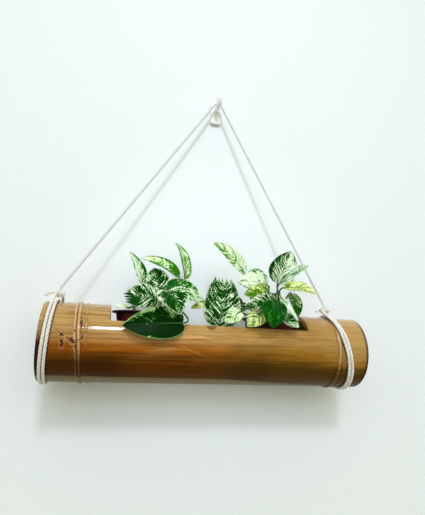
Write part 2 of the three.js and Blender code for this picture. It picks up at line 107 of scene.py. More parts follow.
def openEdit(piece):
    only(piece)
    bpy.ops.object.mode_set(mode="EDIT")
    return bmesh.from_edit_mesh(piece.data)


def closeEdit(piece):
    bmesh.update_edit_mesh(piece.data)
    bpy.ops.object.mode_set(mode="OBJECT")


def pickAll(on=True):
    bpy.ops.mesh.select_all(action="SELECT" if on else "DESELECT")


def faceOutward():
    pickAll()
    bpy.ops.mesh.normals_make_consistent(inside=False)


def settled(piece):  # place, turn and scale go into the mesh
    only(piece)
    bpy.ops.object.transform_apply(location=True, rotation=True, scale=True)
    return piece


def withModifier(piece, kind, **settings):
    only(piece)
    modifier = piece.modifiers.new(kind.lower(), kind)
    for key, value in settings.items():
        setattr(modifier, key, value)
    bpy.ops.object.modifier_apply(modifier=modifier.name)


def withTool(piece, tool, operation):
    withModifier(piece, "BOOLEAN", object=tool, operation=operation, solver="EXACT")
    bpy.data.objects.remove(tool)


def smooth(piece, angle):
    only(piece)
    bpy.ops.object.shade_smooth_by_angle(angle=radians(angle))
    return piece


def joined(first, *others):
    only(first)
    for other in others:
        other.select_set(True)
    bpy.ops.object.join()
    return first


def marked(piece, title, value):  # one number for every point
    mark = piece.data.attributes.new(title, "FLOAT", "POINT")
    mark.data.foreach_set("value", [value] * len(piece.data.vertices))


def painted(piece, *materials):
    piece.data.materials.clear()
    for material in materials:
        piece.data.materials.append(material)
    return piece


def placed(piece, body, node):
    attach(piece, body)
    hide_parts(node)


def extrudedRings(rings, centre, along, steps):
    # a ring of edges, extruded and scaled from one (place, radius) to the next along X or Z
    lengthwise = along == "X"
    spots = []
    for place, _ in rings:
        spots.append(Vector((place, centre.y, centre.z) if lengthwise else (centre.x, centre.y, place)))
    pickAll(False)
    bpy.ops.mesh.primitive_circle_add(vertices=steps, radius=rings[0][1], fill_type="NOTHING",
                                      location=spots[0], rotation=(0, pi / 2 if lengthwise else 0, 0))
    bpy.ops.mesh.edge_face_add()
    bpy.ops.mesh.select_mode(type="EDGE")
    for k in range(1, len(rings)):
        bpy.ops.mesh.extrude_edges_move(TRANSFORM_OT_translate={"value": spots[k] - spots[k - 1]})
        share = rings[k][1] / rings[k - 1][1]
        scale = (1, share, share) if lengthwise else (share, share, 1)
        bpy.ops.transform.resize(value=scale, center_override=spots[k])
    bpy.ops.mesh.edge_face_add()


def emptyPiece(name):
    return linked(name, bpy.data.meshes.new(name))


def turnedPiece(name, rings, centre, steps):  # round an upright axis
    piece = emptyPiece(name)
    openEdit(piece)
    extrudedRings(rings, centre, "Z", steps)
    faceOutward()
    bpy.ops.object.mode_set(mode="OBJECT")
    return piece


def curveTube(name, points, radius, resolution, radii=None):
    # a bevelled curve through the points, made a mesh
    data = bpy.data.curves.new(name, "CURVE")
    data.dimensions = "3D"
    data.bevel_depth = radius
    data.bevel_resolution = resolution
    data.use_fill_caps = True
    spline = data.splines.new("POLY")
    spline.points.add(len(points) - 1)
    for index, point in enumerate(points):
        spline.points[index].co = (*point, 1)
        spline.points[index].radius = radii[index] if radii else 1
    only(linked(name, data))
    bpy.ops.object.convert(target="MESH")
    piece = named(name)
    openEdit(piece)
    pickAll()
    bpy.ops.mesh.remove_doubles(threshold=0.001 * mm)
    faceOutward()
    closeEdit(piece)
    return piece


def spread(start, end, count):
    return [start + (end - start) * k / count for k in range(count + 1)]


# handling shader nodes: a wire is a node's output, to reckon with as with a number

class Wire:
    def __init__(self, socket):
        self.socket = socket
        self.tree = socket.id_data

    def __add__(self, other):
        return calc("ADD", self, other)

    def __sub__(self, other):
        return calc("SUBTRACT", self, other)

    def __rsub__(self, other):
        return calc("SUBTRACT", other, self)

    def __mul__(self, other):
        return calc("MULTIPLY", self, other)

    def __abs__(self):
        return calc("ABSOLUTE", self)


def plug(node, sockets):
    for key, value in sockets.items():
        if isinstance(value, Wire):
            node.id_data.links.new(value.socket, node.inputs[key])
        else:
            node.inputs[key].default_value = value


def put(tree, kind, sockets=None, output=0, **settings):
    node = tree.nodes.new(kind)
    for key, value in settings.items():
        setattr(node, key, value)
    plug(node, sockets or {})
    return Wire(node.outputs[output])


def outputsOf(wire):
    return {socket.name: Wire(socket) for socket in wire.socket.node.outputs}


def partsOf(vector):
    return outputsOf(put(vector.tree, "ShaderNodeSeparateXYZ", {0: vector}))


def combine(x, y, z):
    return put(x.tree, "ShaderNodeCombineXYZ", {0: x, 1: y, 2: z})


def calc(operation, *values):
    tree = next(value.tree for value in values if isinstance(value, Wire))
    return put(tree, "ShaderNodeMath", dict(enumerate(values)), operation=operation)


def vectorCalc(operation, wire, other, output=0):
    return put(wire.tree, "ShaderNodeVectorMath", {0: wire, 1: other}, output, operation=operation)


def ramp(value, low, high, toLow=0.0, toHigh=1.0, kind="SMOOTHSTEP"):
    limits = dict(enumerate((value, low, high, toLow, toHigh)))
    return put(value.tree, "ShaderNodeMapRange", limits, interpolation_type=kind)


def near(value, place, inner, outer, share):  # falls from the share to nothing on both sides
    return ramp(abs(value - place), inner, outer, share, 0)


def mix(share, first, second):
    return put(share.tree, "ShaderNodeMix", {0: share, 6: first, 7: second}, 2, data_type="RGBA")


def stretch(vector, scale, shift=(0, 0, 0)):
    return put(vector.tree, "ShaderNodeMapping", {"Vector": vector, "Scale": scale, "Location": shift})


def noisy(vector, scale, detail=3.0, roughness=0.55, shift=(0, 0, 0)):
    if isinstance(scale, tuple):  # unlike along each axis
        vector = stretch(vector, scale, shift)
        scale = 1
    sockets = {"Vector": vector, "Scale": scale, "Detail": detail, "Roughness": roughness}
    return put(vector.tree, "ShaderNodeTexNoise", sockets, "Fac")


def bump(height, strength, distance):
    return put(height.tree, "ShaderNodeBump", {"Height": height, "Strength": strength, "Distance": distance})


def objectCoords(tree):
    return put(tree, "ShaderNodeTexCoord", output="Object")


def attribute(tree, title):
    return put(tree, "ShaderNodeAttribute", output="Fac", attribute_name=title)


def newMaterial(name):
    material = bpy.data.materials.new(name)
    material.use_nodes = True
    tree = material.node_tree
    return material, tree, tree.nodes["Principled BSDF"]


def feed(shader, **sockets):
    titles = {"color": "Base Color", "roughness": "Roughness", "normal": "Normal", "sheen": "Sheen Weight",
              "specular": "Specular IOR Level", "coat": "Coat Weight", "coatRoughness": "Coat Roughness",
              "coatIor": "Coat IOR"}
    plug(shader, {titles[key]: value for key, value in sockets.items()})


def layered(name, base, layers, bumps, coordsOf=objectCoords, **sockets):
    # noises or attributes laid over a base tone, each with its ramp and tone; the first also makes the bumps
    material, tree, shader = newMaterial(name)
    coords = coordsOf(tree)
    color, first = base, None
    for pattern, limits, seen in layers:
        grain = attribute(tree, pattern) if isinstance(pattern, str) else noisy(coords, *pattern)
        color = mix(ramp(grain, *limits), color, seen)
        first = first or grain
    if isinstance(sockets["roughness"], tuple):
        sockets["roughness"] = ramp(first, *sockets["roughness"])
    feed(shader, color=color, normal=bump(first, *bumps), **sockets)
    return material


def newGroup(name, inputs, outputs):  # titles of sockets by kind
    tree = bpy.data.node_groups.new(name, "ShaderNodeTree")
    for way, sockets in (("INPUT", inputs), ("OUTPUT", outputs)):
        for kind, titles in sockets.items():
            for title in titles:
                tree.interface.new_socket(name=title, in_out=way, socket_type="NodeSocket" + kind)
    given = tree.nodes.new("NodeGroupInput").outputs
    return tree, {socket.name: Wire(socket) for socket in given}, tree.nodes.new("NodeGroupOutput")


def tone(red, green, blue):  # a colour as seen, 0 to 255, as a linear one
    def linear(value):
        value /= 255
        return value / 12.92 if value <= 0.04045 else ((value + 0.055) / 1.055) ** 2.4
    return (linear(red), linear(green), linear(blue), 1)


# camera, wall, floor and light

view = {
    "place": (-126.1 * mm, -591.3 * mm, -356.2 * mm), "yaw": -12.43, "pitch": 11.84, "roll": 2.30,
    "focalPixels": 424.06, "imageHeight": 515, "sensor": 36, "nearest": 10 * mm,
}


def setCamera():
    data = bpy.data.cameras.new("viewCamera")
    camera = linked("viewCamera", data)
    data.sensor_fit = "VERTICAL"
    data.sensor_height = view["sensor"]
    data.lens = view["focalPixels"] / view["imageHeight"] * view["sensor"]
    data.clip_start = view["nearest"]
    turn = (
        Matrix.Rotation(radians(view["yaw"]), 4, "Z")
        @ Matrix.Rotation(pi / 2 + radians(view["pitch"]), 4, "X")
        @ Matrix.Rotation(radians(view["roll"]), 4, "Z")
    )
    camera.matrix_world = Matrix.Translation(view["place"]) @ turn
    bpy.context.scene.camera = camera


stage = {
    "wallGap": 1.5 * mm, "wallSize": 14.0, "wallTone": tone(243, 250, 250),
    "floorZ": -5.0, "floorTone": tone(222, 222, 216), "mottle": 0.985,
    "skyAbove": (1.0, 0.985, 0.78, 1), "skyBelow": (0.06, 0.055, 0.04, 1), "skyFrom": -0.06, "skyTo": 0.12,
    "skyStrength": 0.97, "backdrop": tone(226, 232, 228),
    "dimGloss": 0.5,  # the room is dimmer in the varnish
}

lamps = {
    "keyLamp": {
        "kind": "AREA", "place": (-0.11, -3.05, 2.3), "aim": (-0.008, -0.051, 0.15), "inGloss": True,
        "energy": 2.6, "color": (0.98, 1.0, 1.14),
        "shape": {"shape": "RECTANGLE", "size": 0.46, "size_y": 0.5, "spread": radians(42)},
    },
    "softLamp": {
        "kind": "AREA", "place": (-0.25, -2.6, 1.5), "aim": (-0.008, -0.051, 0.15), "inGloss": False,
        "energy": 2.5, "color": (0.86, 1.0, 1.75),
        "shape": {"shape": "RECTANGLE", "size": 2.6, "size_y": 2.2, "spread": radians(46)},
    },
    "fillLamp": {  # weak light beside the camera, on the wall round the plants
        "kind": "SPOT", "place": view["place"], "aim": (0.0, 0.0, -0.285), "inGloss": False,
        "energy": 1.9, "color": (0.92, 1.0, 1.08),
        "shape": {"spot_size": radians(46), "spot_blend": 1.0, "shadow_soft_size": 0.03},
    },
}


def paleSurface(name, seen):  # clear from behind
    material, tree, shader = newMaterial(name)
    dimmer = [stage["mottle"] * part for part in seen[:3]] + [1]
    paint = mix(ramp(noisy(objectCoords(tree), 160, 2), 0.3, 0.7), seen, dimmer)
    feed(shader, color=paint, roughness=0.9, specular=0.1)
    behind = put(tree, "ShaderNodeNewGeometry", output="Backfacing")
    clear = put(tree, "ShaderNodeBsdfTransparent")
    blend = put(tree, "ShaderNodeMixShader", {0: behind, 1: Wire(shader.outputs[0]), 2: clear})
    plug(tree.nodes["Material Output"], {"Surface": blend})
    return material


def addLamp(name, given):
    lamp = bpy.data.lights.new(name, given["kind"])
    lamp.energy = given["energy"]
    lamp.color = given["color"]
    for key, value in given["shape"].items():
        setattr(lamp, key, value)
    holder = linked(name, lamp)
    holder.location = given["place"]
    holder.rotation_euler = (Vector(given["aim"]) - holder.location).to_track_quat("-Z", "Y").to_euler()
    holder.visible_glossy = given["inGloss"]


def setRoom():
    world = bpy.data.worlds.new("paleRoom")
    world.use_nodes = True
    tree = world.node_tree
    height = partsOf(put(tree, "ShaderNodeTexCoord", output="Generated"))["Z"]
    rays = outputsOf(put(tree, "ShaderNodeLightPath"))
    room = mix(ramp(height, stage["skyFrom"], stage["skyTo"]), stage["skyBelow"], stage["skyAbove"])
    room = mix(rays["Is Glossy Ray"] * stage["dimGloss"], room, (0, 0, 0, 1))
    room = mix(rays["Is Camera Ray"], room, stage["backdrop"])
    plug(tree.nodes["Background"], {"Color": room, "Strength": stage["skyStrength"]})
    bpy.context.scene.world = world
    bpy.context.scene.view_settings.view_transform = "Standard"


def setStage():
    deselect()
    bpy.ops.mesh.primitive_plane_add(size=stage["wallSize"], location=(0, stage["wallGap"], 0),
                                     rotation=(pi / 2, 0, 0))
    wall = painted(named("wall"), paleSurface("wallPaint", stage["wallTone"]))
    bpy.ops.mesh.primitive_plane_add(size=stage["wallSize"],
                                     location=(0, stage["wallGap"] - stage["wallSize"] / 2, stage["floorZ"]))
    floor = painted(named("floor"), paleSurface("floorPaint", stage["floorTone"]))
    floor.visible_glossy = False  # the room below stays dark in the varnish
    for name, given in lamps.items():
        addLamp(name, given)
    setRoom()


setCamera()
setStage()
print("camera, wall and light set")


# rope: strands laid round each other along a route

rope = {
    "radius": 2 * mm, "strands": 3, "strandRadius": 0.52, "strandOffset": 0.48,
    "layLength": 15 * mm, "stepsPerLay": 10,
    "yarnHeight": 0.35, "yarnRound": 44.0, "yarnAlong": 2600.0,  # phase once round, and along a metre
    "fuzz": (0.3, 0.65), "rubbed": (0.6, 0.85, 0, 0.35),
}


def evenly(points, step):
    lengths = [0]
    for a, b in zip(points, points[1:]):
        lengths.append(lengths[-1] + (b - a).length)
    count = max(2, ceil(lengths[-1] / step))
    result, index = [], 0
    for at in spread(0, lengths[-1], count):
        while index < len(points) - 2 and lengths[index + 1] < at:
            index += 1
        span = lengths[index + 1] - lengths[index]
        result.append(points[index].lerp(points[index + 1], (at - lengths[index]) / span if span else 0))
    return result


def cornersCut(points, rounds):
    for _ in range(rounds):
        cut = [points[0]]
        for a, b in zip(points, points[1:]):
            cut += [a.lerp(b, 0.25), a.lerp(b, 0.75)]
        points = cut + [points[-1]]
    return points


def lengthOf(points):
    return sum((b - a).length for a, b in zip(points, points[1:]))


def laidRope(name, route, radius=rope["radius"], lay=rope["layLength"]):
    points = evenly(route, lay / rope["stepsPerLay"])
    tangents = [(points[min(k + 1, len(points) - 1)] - points[max(k - 1, 0)]).normalized()
                for k in range(len(points))]
    across = tangents[0].orthogonal().normalized()
    frames = []
    for tangent in tangents:  # carried along without twisting
        across = (across - tangent * across.dot(tangent)).normalized()
        frames.append((across, tangent.cross(across)))
    strands = []
    for strand in range(rope["strands"]):
        line = []
        for k, (point, (one, two)) in enumerate(zip(points, frames)):
            angle = 2 * pi * (strand / rope["strands"] + k / rope["stepsPerLay"])
            out = one * cos(angle) + two * sin(angle)
            line.append(point + out * radius * rope["strandOffset"])
        tube = curveTube(name + str(strand), line, radius * rope["strandRadius"], 1)
        for corner in tube.data.uv_layers[0].data:  # round the strand, and metres along it
            corner.uv = (corner.uv[0], corner.uv[1] * lengthOf(line))
        strands.append(tube)
    piece = joined(*strands)
    piece.name = piece.data.name = name
    return smooth(piece, 70), points


def makeCotton(name, pale, warm, worn):
    material, tree, shader = newMaterial(name)
    strand = partsOf(put(tree, "ShaderNodeUVMap", uv_map="UVMap"))
    coords = objectCoords(tree)
    yarn = calc("SINE", strand["X"] * rope["yarnRound"] + strand["Y"] * rope["yarnAlong"])
    fuzz = noisy(coords, 2600, 3, 0.7)
    rubbed = noisy(coords, 60, 4, 0.6)
    color = mix(ramp(fuzz, *rope["fuzz"]), warm, pale)
    color = mix(ramp(rubbed, *rope["rubbed"]), color, worn)
    feed(shader, color=color, roughness=0.92, sheen=0.2, specular=0.2,
         normal=bump(yarn * rope["yarnHeight"] + fuzz, 0.6, 0.25 * mm))
    return material


cottonRope = makeCotton("cottonRope", tone(254, 251, 243), tone(241, 235, 222), tone(198, 188, 170))
# the same cotton rope, painted greyer and cooler: painted shade on the hanging rope
shadedRope = makeCotton("shadedRope", tone(240, 244, 243), tone(226, 230, 228), tone(190, 193, 190))


def hump(distance, halfWidth):
    return max(0.0, 1 - (distance / halfWidth) ** 2)


def bareRadius(x):
    return culm["radius"] - culm["taper"] * (x - axis.x)


def skinRadius(x):
    swell = 0
    for node in (leftNode, rightNode):
        swell += culm["ridgeHeight"] * hump(x - node, culm["ridgeHalfWidth"])
        swell += culm["scarHeight"] * hump(x - node - culm["scarOffset"], culm["scarHalfWidth"])
    return bareRadius(x) + swell


lashing = {
    "turns": 2, "pitch": 4.3 * mm, "stepsPerTurn": 96, "seat": 1.9 * mm, "bed": (-1.5 * mm, 0, 1.5 * mm),
    "slant": {"left": -6 * mm, "right": 20 * mm},
    "knotInset": {"left": 13 * mm, "right": 38 * mm}, "knotHeight": 55.13 * mm,
    "tuck": (1.5 * mm, 0.5 * mm),  # of the ends in the knot, before or behind it and down
}
knotHeight = axis.z + lashing["knotHeight"]
knotPlace = {
    "left": Vector((culm["left"] + lashing["knotInset"]["left"], axis.y, knotHeight)),
    "right": Vector((culm["right"] - lashing["knotInset"]["right"], axis.y, knotHeight)),
}


def lashRoute(side):
    knot, turns, pitch = knotPlace[side], lashing["turns"], lashing["pitch"]

    def onCulm(angle):
        x = knot.x + lashing["slant"][side] * (1 - cos(angle)) / 2
        x += pitch * (angle / (2 * pi) - turns / 2)
        radius = max(skinRadius(x + d) for d in lashing["bed"]) + lashing["seat"]
        return Vector((x, axis.y - radius * sin(angle), axis.z + radius * cos(angle)))

    leave = acos((skinRadius(knot.x) + lashing["seat"]) / lashing["knotHeight"])
    angles = spread(leave, turns * 2 * pi - leave, turns * lashing["stepsPerTurn"])
    half, (back, down) = pitch * turns / 2, lashing["tuck"]
    start, end = knot + Vector((-half, -back, -down)), knot + Vector((half, back, -down))
    return [start] + [onCulm(angle) for angle in angles] + [end]


hanger = {
    "peg": Vector((0, -15 * mm, 3 * mm)), "bightRadius": 6.1 * mm, "bightSteps": 14,
    "rise": (2.6 * mm, 7.9 * mm),  # of a leg straight up from its knot
    "straight": (0.02, 0.97),  # the share of a leg between its bends
}


def hangerRoute():
    peg, reach = hanger["peg"], hanger["bightRadius"]
    turn = {}
    for side, sign in (("left", -1), ("right", 1)):  # where each leg leaves the bight
        run = knotPlace[side] - peg
        turn[side] = atan2(run.z, run.x) + sign * acos(reach / hypot(run.x, run.z))
    bight = []
    for angle in spread(turn["left"] + 2 * pi, turn["right"], hanger["bightSteps"]):
        bight.append(peg + Vector((reach * cos(angle), 0, reach * sin(angle))))
    legs = []
    for side, top in (("left", bight[0]), ("right", bight[-1])):
        knot = knotPlace[side]
        up = Vector((0, peg.y - knot.y, peg.z - knot.z)).normalized()
        low, high = (knot + up * rise for rise in hanger["rise"])
        legs.append([low, high] + [high.lerp(top, share) for share in hanger["straight"]])
    return cornersCut(legs[0] + bight + legs[1][::-1], 2)


knotting = {
    "wraps": 3, "steps": 24, "pitch": 4.1 * mm, "coil": 2.2 * mm, "radius": 1.75 * mm, "lay": 11 * mm,
    "tail": ((-9, -5.5, -4.6), (-6, -4.2, -2.4), (-2.6, -2, -0.3)),  # millimetres from the first wrap
}


def knotRoute(side):
    # wraps about the line through both knots, with a short loose end
    wraps = []
    for k in range(knotting["wraps"] * knotting["steps"] + 1):
        turn = k / knotting["steps"]
        angle = 2 * pi * turn
        x = knotting["pitch"] * (turn - knotting["wraps"] / 2)
        coiled = Vector((x, knotting["coil"] * sin(angle), knotting["coil"] * cos(angle)))
        wraps.append(knotPlace[side] + coiled)
    return cornersCut([wraps[0] + Vector(part) * mm for part in knotting["tail"]] + wraps, 1)


def makeRopes():
    piece, line = laidRope("hangingRope", hangerRoute())
    placed(painted(piece, shadedRope), "rope", "hanging_rope")
    total = length = lengthOf(line)
    for side in sides:
        winding, turns = laidRope(side + "Lashing", lashRoute(side))
        placed(painted(winding, cottonRope), "planter", side + "_lashing")
        knot, wraps = laidRope(side + "Knot", knotRoute(side), knotting["radius"], knotting["lay"])
        placed(painted(knot, cottonRope), "planter", side + "_knot")
        total += lengthOf(turns) + lengthOf(wraps)
    print(f"ropes laid: {length:.3f} m hanging, {total:.3f} m with lashings and knots")


makeRopes()


# the bamboo culm

def culmCoords(tree):  # from the middle of the culm's axis
    return vectorCalc("SUBTRACT", objectCoords(tree), tuple(axis))


# a node's place, its shift and lean, its dark lines (place, half width, share) and its pale crests
nodeMarks = (
    (leftNode, 1.9 * mm, -3.6 * mm, ((-1.6, 0.9, 0.85), (2.8, 0.7, 0.4), (10.4, 0.7, 0.12)), (-3.5, 0.5)),
    (rightNode, 0.0, 0.0, ((-2.8, 0.7, 0.6), (2.6, 0.9, 0.9), (10.4, 0.7, 0.6)), (0.0,)),
)

skinTones = {
    # litTopLeft and litTopRight are painted light: the top is paler where the light falls
    "litTopLeft": tone(184, 146, 84), "litTopRight": tone(170, 132, 66),
    "left": tone(162, 92, 14), "right": tone(156, 110, 28),
    # under and shadedUnderRight are painted shade: the underside is darker
    "under": tone(54, 28, 4), "shadedUnderRight": tone(54, 38, 8),
    "grain": tone(112, 60, 10), "pale": tone(212, 168, 92), "dark": tone(34, 20, 2),
    "crest": tone(226, 190, 136), "line": tone(70, 32, 12), "flush": tone(128, 60, 14),
    "scar": tone(62, 16, 8), "healed": tone(214, 168, 116), "scratchAndHighlight": tone(230, 180, 104),
    "paintedLeafShadow": tone(82, 60, 16), "paintedWallReflection": tone(120, 104, 58),
    "end": tone(44, 18, 10), "endPale": tone(214, 180, 116),
}

# places along the skin are from the culm's middle, and turns are from the top round to the front
skin = {
    "half": (-0.04, 0.07), "paintedTopToFrontShade": (1.5, 2.0),  # tones change from left to right, and from the painted light on top to the painted shade of the front
    "streaks": (0.48, 0.72), "clouds": (0.52, 0.75, 0, 0.4), "fibres": (0.48, 0.64, 0, 0.55),
    "nodeWander": 4 * mm, "lineCore": 0.2,
    "flush": (2 * mm, 15 * mm, 0.36), "crest": (0.3 * mm, 1.8 * mm, 0.8),  # inner and outer reach, share
    # strokes of old damage: millimetres along and turn, to the same, half width
    "scars": (
        (-180, 1.3, -172.5, 1.44, 0.7), (-163, 1.51, -161.5, 1.56, 2.3), (-168, 1.49, -166, 1.5, 1.2),
        (-173.5, 1.54, -172, 1.7, 1.3), (-163.5, 1.25, -160.5, 1.33, 0.9), (-158, 1.5, -157.4, 1.84, 0.9),
        (-155.5, 0.95, -153.5, 1.24, 0.8), (-152, 1.44, -154.5, 1.56, 1.0), (165.4, 1.48, 165.8, 1.48, 0.8)),
    "scarWander": 9 * mm, "scarRagged": 2.2,
    "hurt": (0.5, 1.3, 0.88, 0), "healed": ((0.9, 1.4), (1.5, 2.6, 0.4, 0)),  # in half widths of a stroke
    # millimetres along, turn, half length in millimetres, half width in turn, slope in turn to the
    # millimetre; the last row is a painted highlight, a faint streak of light on the varnish
    "scratchesAndHighlight": ((-27, 1.705, 20, 0.01, 0.0093), (-16, 1.77, 11, 0.007, 0.0093),
                  (-60, 1.66, 15, 0.01, -0.004), (-30, 1.345, 24, 0.05, -0.001)),
    # a painted shadow of a leaf's base on the front, just below the slot's edge
    "paintedLeafShadow": {"along": -5.5 * mm, "turn": 0.9, "long": 8.4 * mm, "high": 0.25,
               "edge": (0.6, 1.05, 0.75, 0)},
    "under": (1.85, 2.35, 0, 0.8), "underLower": (0.1, 0.175, 0, 0.2),  # painted shade on the underside, starting lower at the right
    # dark patches: place, inner and outer reach and share along, and a ramp round
    "patches": (((0.045, 0.005, 0.05, 0.42), (1.45, 1.95)), ((-0.132, 0.005, 0.045, 0.5), (1.85, 2.2))),
    # tone, a ramp along and a ramp round
    "shades": (("endPale", (0.12, 0.185, 0, 0.32), (1.9, 2.3, 1, 0)),
               # the under row darkens the low side left of the left node with the painted shade tone
               ("under", (-0.168, -0.16, 0.3, 0), (1.6, 2.1)),
               ("end", (-0.193, -0.186, 0.92, 0), (1.5, 1.9))),
    "rightEdge": (0.195, 0.1982, 0, 0.85),
    "ropeShadowAndRub": (4.3 * mm, 5.9 * mm, 0.8),  # beside the lashings: painted contact shadow, and rub marks
    # a pale strip along the underside, a painted reflection of the wall below; and where little varnish was
    # left low on the front
    "reflectionStrip": {"rise": (0.0, 0.15, 0, 0.27), "edge": (2.5, 2.56), "end": (0.14, 0.16, 1, 0), "share": 0.85},
    "bare": (1.85, 2.1), "bareStrip": 0.75, "bareVarnish": 0.06,
}


def tint(share, color, name):
    return mix(share, color, skinTones[name])


def withNodes(color, along, angle, clouds, fine):
    wander = (clouds - 0.5) * skin["nodeWander"]
    for node, shift, lean, lines, crests in nodeMarks:
        gap = along - (node + shift - axis.x) + (calc("COSINE", angle) * -lean + wander)
        flushed = near(gap, 0, *skin["flush"]) * ramp(fine, 0.4, 0.6)
        color = tint(flushed, color, "flush")
        for place in crests:
            worn = near(gap, place * mm, *skin["crest"]) * ramp(fine, 0.4, 0.58, 0.2, 1)
            color = tint(worn, color, "crest")
        for place, width, share in lines:
            cut = near(gap, place * mm, skin["lineCore"] * width * mm, width * mm, share)
            color = tint(cut * ramp(clouds, 0.3, 0.5, 0.35, 1), color, "line")
    return color


def scarDistance(centred, along, angle, fine):  # in half widths, ragged
    wander = []
    for shift in ((0, 0, 0), (3, 5, 2)):
        wander.append(noisy(stretch(centred, (1, 1, 1), shift), 210) * skin["scarWander"])
    place = combine(wander[0] + along, wander[1] + angle * culm["radius"], 0.0)
    middle = Vector((skin["scarWander"], skin["scarWander"], 0)) / 2
    nearest = 99.0
    for fromAlong, fromTurn, toAlong, toTurn, thick in skin["scars"]:
        start = Vector((fromAlong * mm, fromTurn * culm["radius"], 0))
        stroke = Vector((toAlong * mm, toTurn * culm["radius"], 0)) - start
        off = vectorCalc("SUBTRACT", place, start + middle)
        share = ramp(vectorCalc("DOT_PRODUCT", off, stroke / stroke.length_squared, 1), 0, 1, kind="LINEAR")
        foot = put(off.tree, "ShaderNodeVectorMath", {0: stroke, 3: share}, operation="SCALE")
        reach = vectorCalc("DISTANCE", off, foot, 1)
        nearest = calc("MINIMUM", nearest, reach * (1 / (thick * mm)))
    return (fine - 0.5) * skin["scarRagged"] + nearest


def withDamageAndPaintedLight(color, along, angle, ragged, hurt):
    rise, fall = skin["healed"]
    color = tint(ramp(ragged, *rise) * ramp(ragged, *fall), color, "healed")
    color = tint(hurt, color, "scar")
    # pale scratches, and one painted highlight on the front
    for place, turn, long, high, slope in skin["scratchesAndHighlight"]:
        across = along - place * mm
        down = angle - (across * (slope / mm) + turn)
        line = near(down, 0, 0.1 * high, high, 0.6) * near(across, 0, 0.4 * long * mm, long * mm, 1)
        color = tint(line, color, "scratchAndHighlight")
    # painted shadow of a leaf: a dark half-moon below the slot's edge
    given = skin["paintedLeafShadow"]
    across = (along - given["along"]) * (1 / given["long"])
    down = (angle - given["turn"]) * (1 / given["high"])
    return tint(ramp(across * across + down * down, *given["edge"]), color, "paintedLeafShadow")


def withShades(color, half, along, angle, low):
    # painted shade: the underside is darker towards the bottom
    under = mix(half, skinTones["under"], skinTones["shadedUnderRight"])
    color = mix(ramp(low - ramp(along, *skin["underLower"]), *skin["under"]), color, under)
    for lengthwise, roundwise in skin["patches"]:
        color = tint(near(along, *lengthwise) * ramp(low, *roundwise), color, "dark")
    for name, lengthwise, roundwise in skin["shades"]:
        color = tint(ramp(along, *lengthwise) * ramp(low, *roundwise), color, name)
    color = tint(ramp(along, *skin["rightEdge"]), color, "end")
    turn = calc("WRAP", angle, 2 * pi, 0.0)
    for side in sides:  # painted contact shadow beside the rope, and rub marks
        slant, pitch = lashing["slant"][side], lashing["pitch"]
        middle = slant / 2 + knotPlace[side].x - axis.x - pitch / 2
        roped = turn * (pitch / (2 * pi)) + (calc("COSINE", angle) * (-slant / 2) + middle)
        color = tint(near(along, roped, *skin["ropeShadowAndRub"]), color, "end")
    return color


def makeSkin():
    material, tree, shader = newMaterial("varnishedBamboo")
    centred = culmCoords(tree)
    parts = partsOf(centred)
    along, angle = parts["X"], calc("ARCTAN2", parts["Y"] * -1, parts["Z"])
    streaks = noisy(centred, (8, 240, 240), 4, 0.6)
    fibres = noisy(centred, (22, 900, 900), 3, 0.6, (3, 1, 5))
    clouds = noisy(centred, (12, 22, 22), 3, 0.5, (7, 2, 1))
    fine = noisy(centred, 700, 4, 0.7)
    half = ramp(along, *skin["half"])
    turned = abs(angle)
    low = turned + streaks * 0.5

    top = mix(half, skinTones["litTopLeft"], skinTones["litTopRight"])
    front = mix(half, skinTones["left"], skinTones["right"])
    color = mix(ramp(low, *skin["paintedTopToFrontShade"]), top, front)  # painted light and shade: paler on top where the light falls, darker down the front
    grained = ramp(streaks, *skin["streaks"]) * ramp(half, 0, 1, 0.42, 0.24, "LINEAR")
    color = tint(grained, color, "grain")
    color = tint(ramp(clouds, *skin["clouds"]), color, "pale")
    color = tint(ramp(fibres, *skin["fibres"]), color, "grain")
    color = withNodes(color, along, angle, clouds, fine)
    ragged = scarDistance(centred, along, angle, fine)
    hurt = ramp(ragged, *skin["hurt"])
    color = withDamageAndPaintedLight(color, along, angle, ragged, hurt)
    color = withShades(color, half, along, angle, low)
    # painted reflection: a pale strip along the underside
    given = skin["reflectionStrip"]
    reflectionStrip = ramp(turned - ramp(along, *given["rise"]), *given["edge"]) * ramp(along, *given["end"])
    color = tint(reflectionStrip * given["share"], color, "paintedWallReflection")

    bare = ramp(turned, *skin["bare"]) * ramp(reflectionStrip, 0, 1, 1, skin["bareStrip"])
    varnish = ramp(bare, 0, 1, 1.0, skin["bareVarnish"], "LINEAR")
    height = hurt * -2.0 + (streaks * 0.6 + fibres * 0.4)
    feed(shader, color=color, roughness=ramp(streaks, 0.35, 0.7, 0.34, 0.5), specular=0.05, coat=varnish,
         coatRoughness=0.08, coatIor=1.4, normal=bump(height, 0.25, 0.25 * mm))
    return material


def makeSawn():
    seen = {"tan": tone(170, 118, 62), "brown": tone(112, 66, 30), "fibre": tone(66, 34, 16)}
    material, tree, shader = newMaterial("sawnBamboo")
    centred = culmCoords(tree)
    cells = {"Vector": stretch(centred, (120, 1100, 1100)), "Scale": 1.0}
    bundles = put(tree, "ShaderNodeTexVoronoi", cells, "Distance")
    color = mix(ramp(noisy(centred, (40, 160, 160)), 0.35, 0.7), seen["brown"], seen["tan"])
    color = mix(ramp(bundles, 0.22, 0.42, 0.8, 0), color, seen["fibre"])
    feed(shader, color=color, roughness=0.62, normal=bump(bundles, 0.4, 0.3 * mm))
    return material


def makeInside():
    streaks = (((10, 260, 260), 4), (0.35, 0.65), tone(186, 146, 92))
    clouds = (((30, 40, 40),), (0.52, 0.75, 0, 0.6), tone(214, 186, 140))
    return layered("innerBamboo", tone(126, 84, 44), (streaks, clouds), (0.5, 0.3 * mm), culmCoords,
                   roughness=0.75)


def bore(x):
    return bareRadius(x) - culm["wall"]


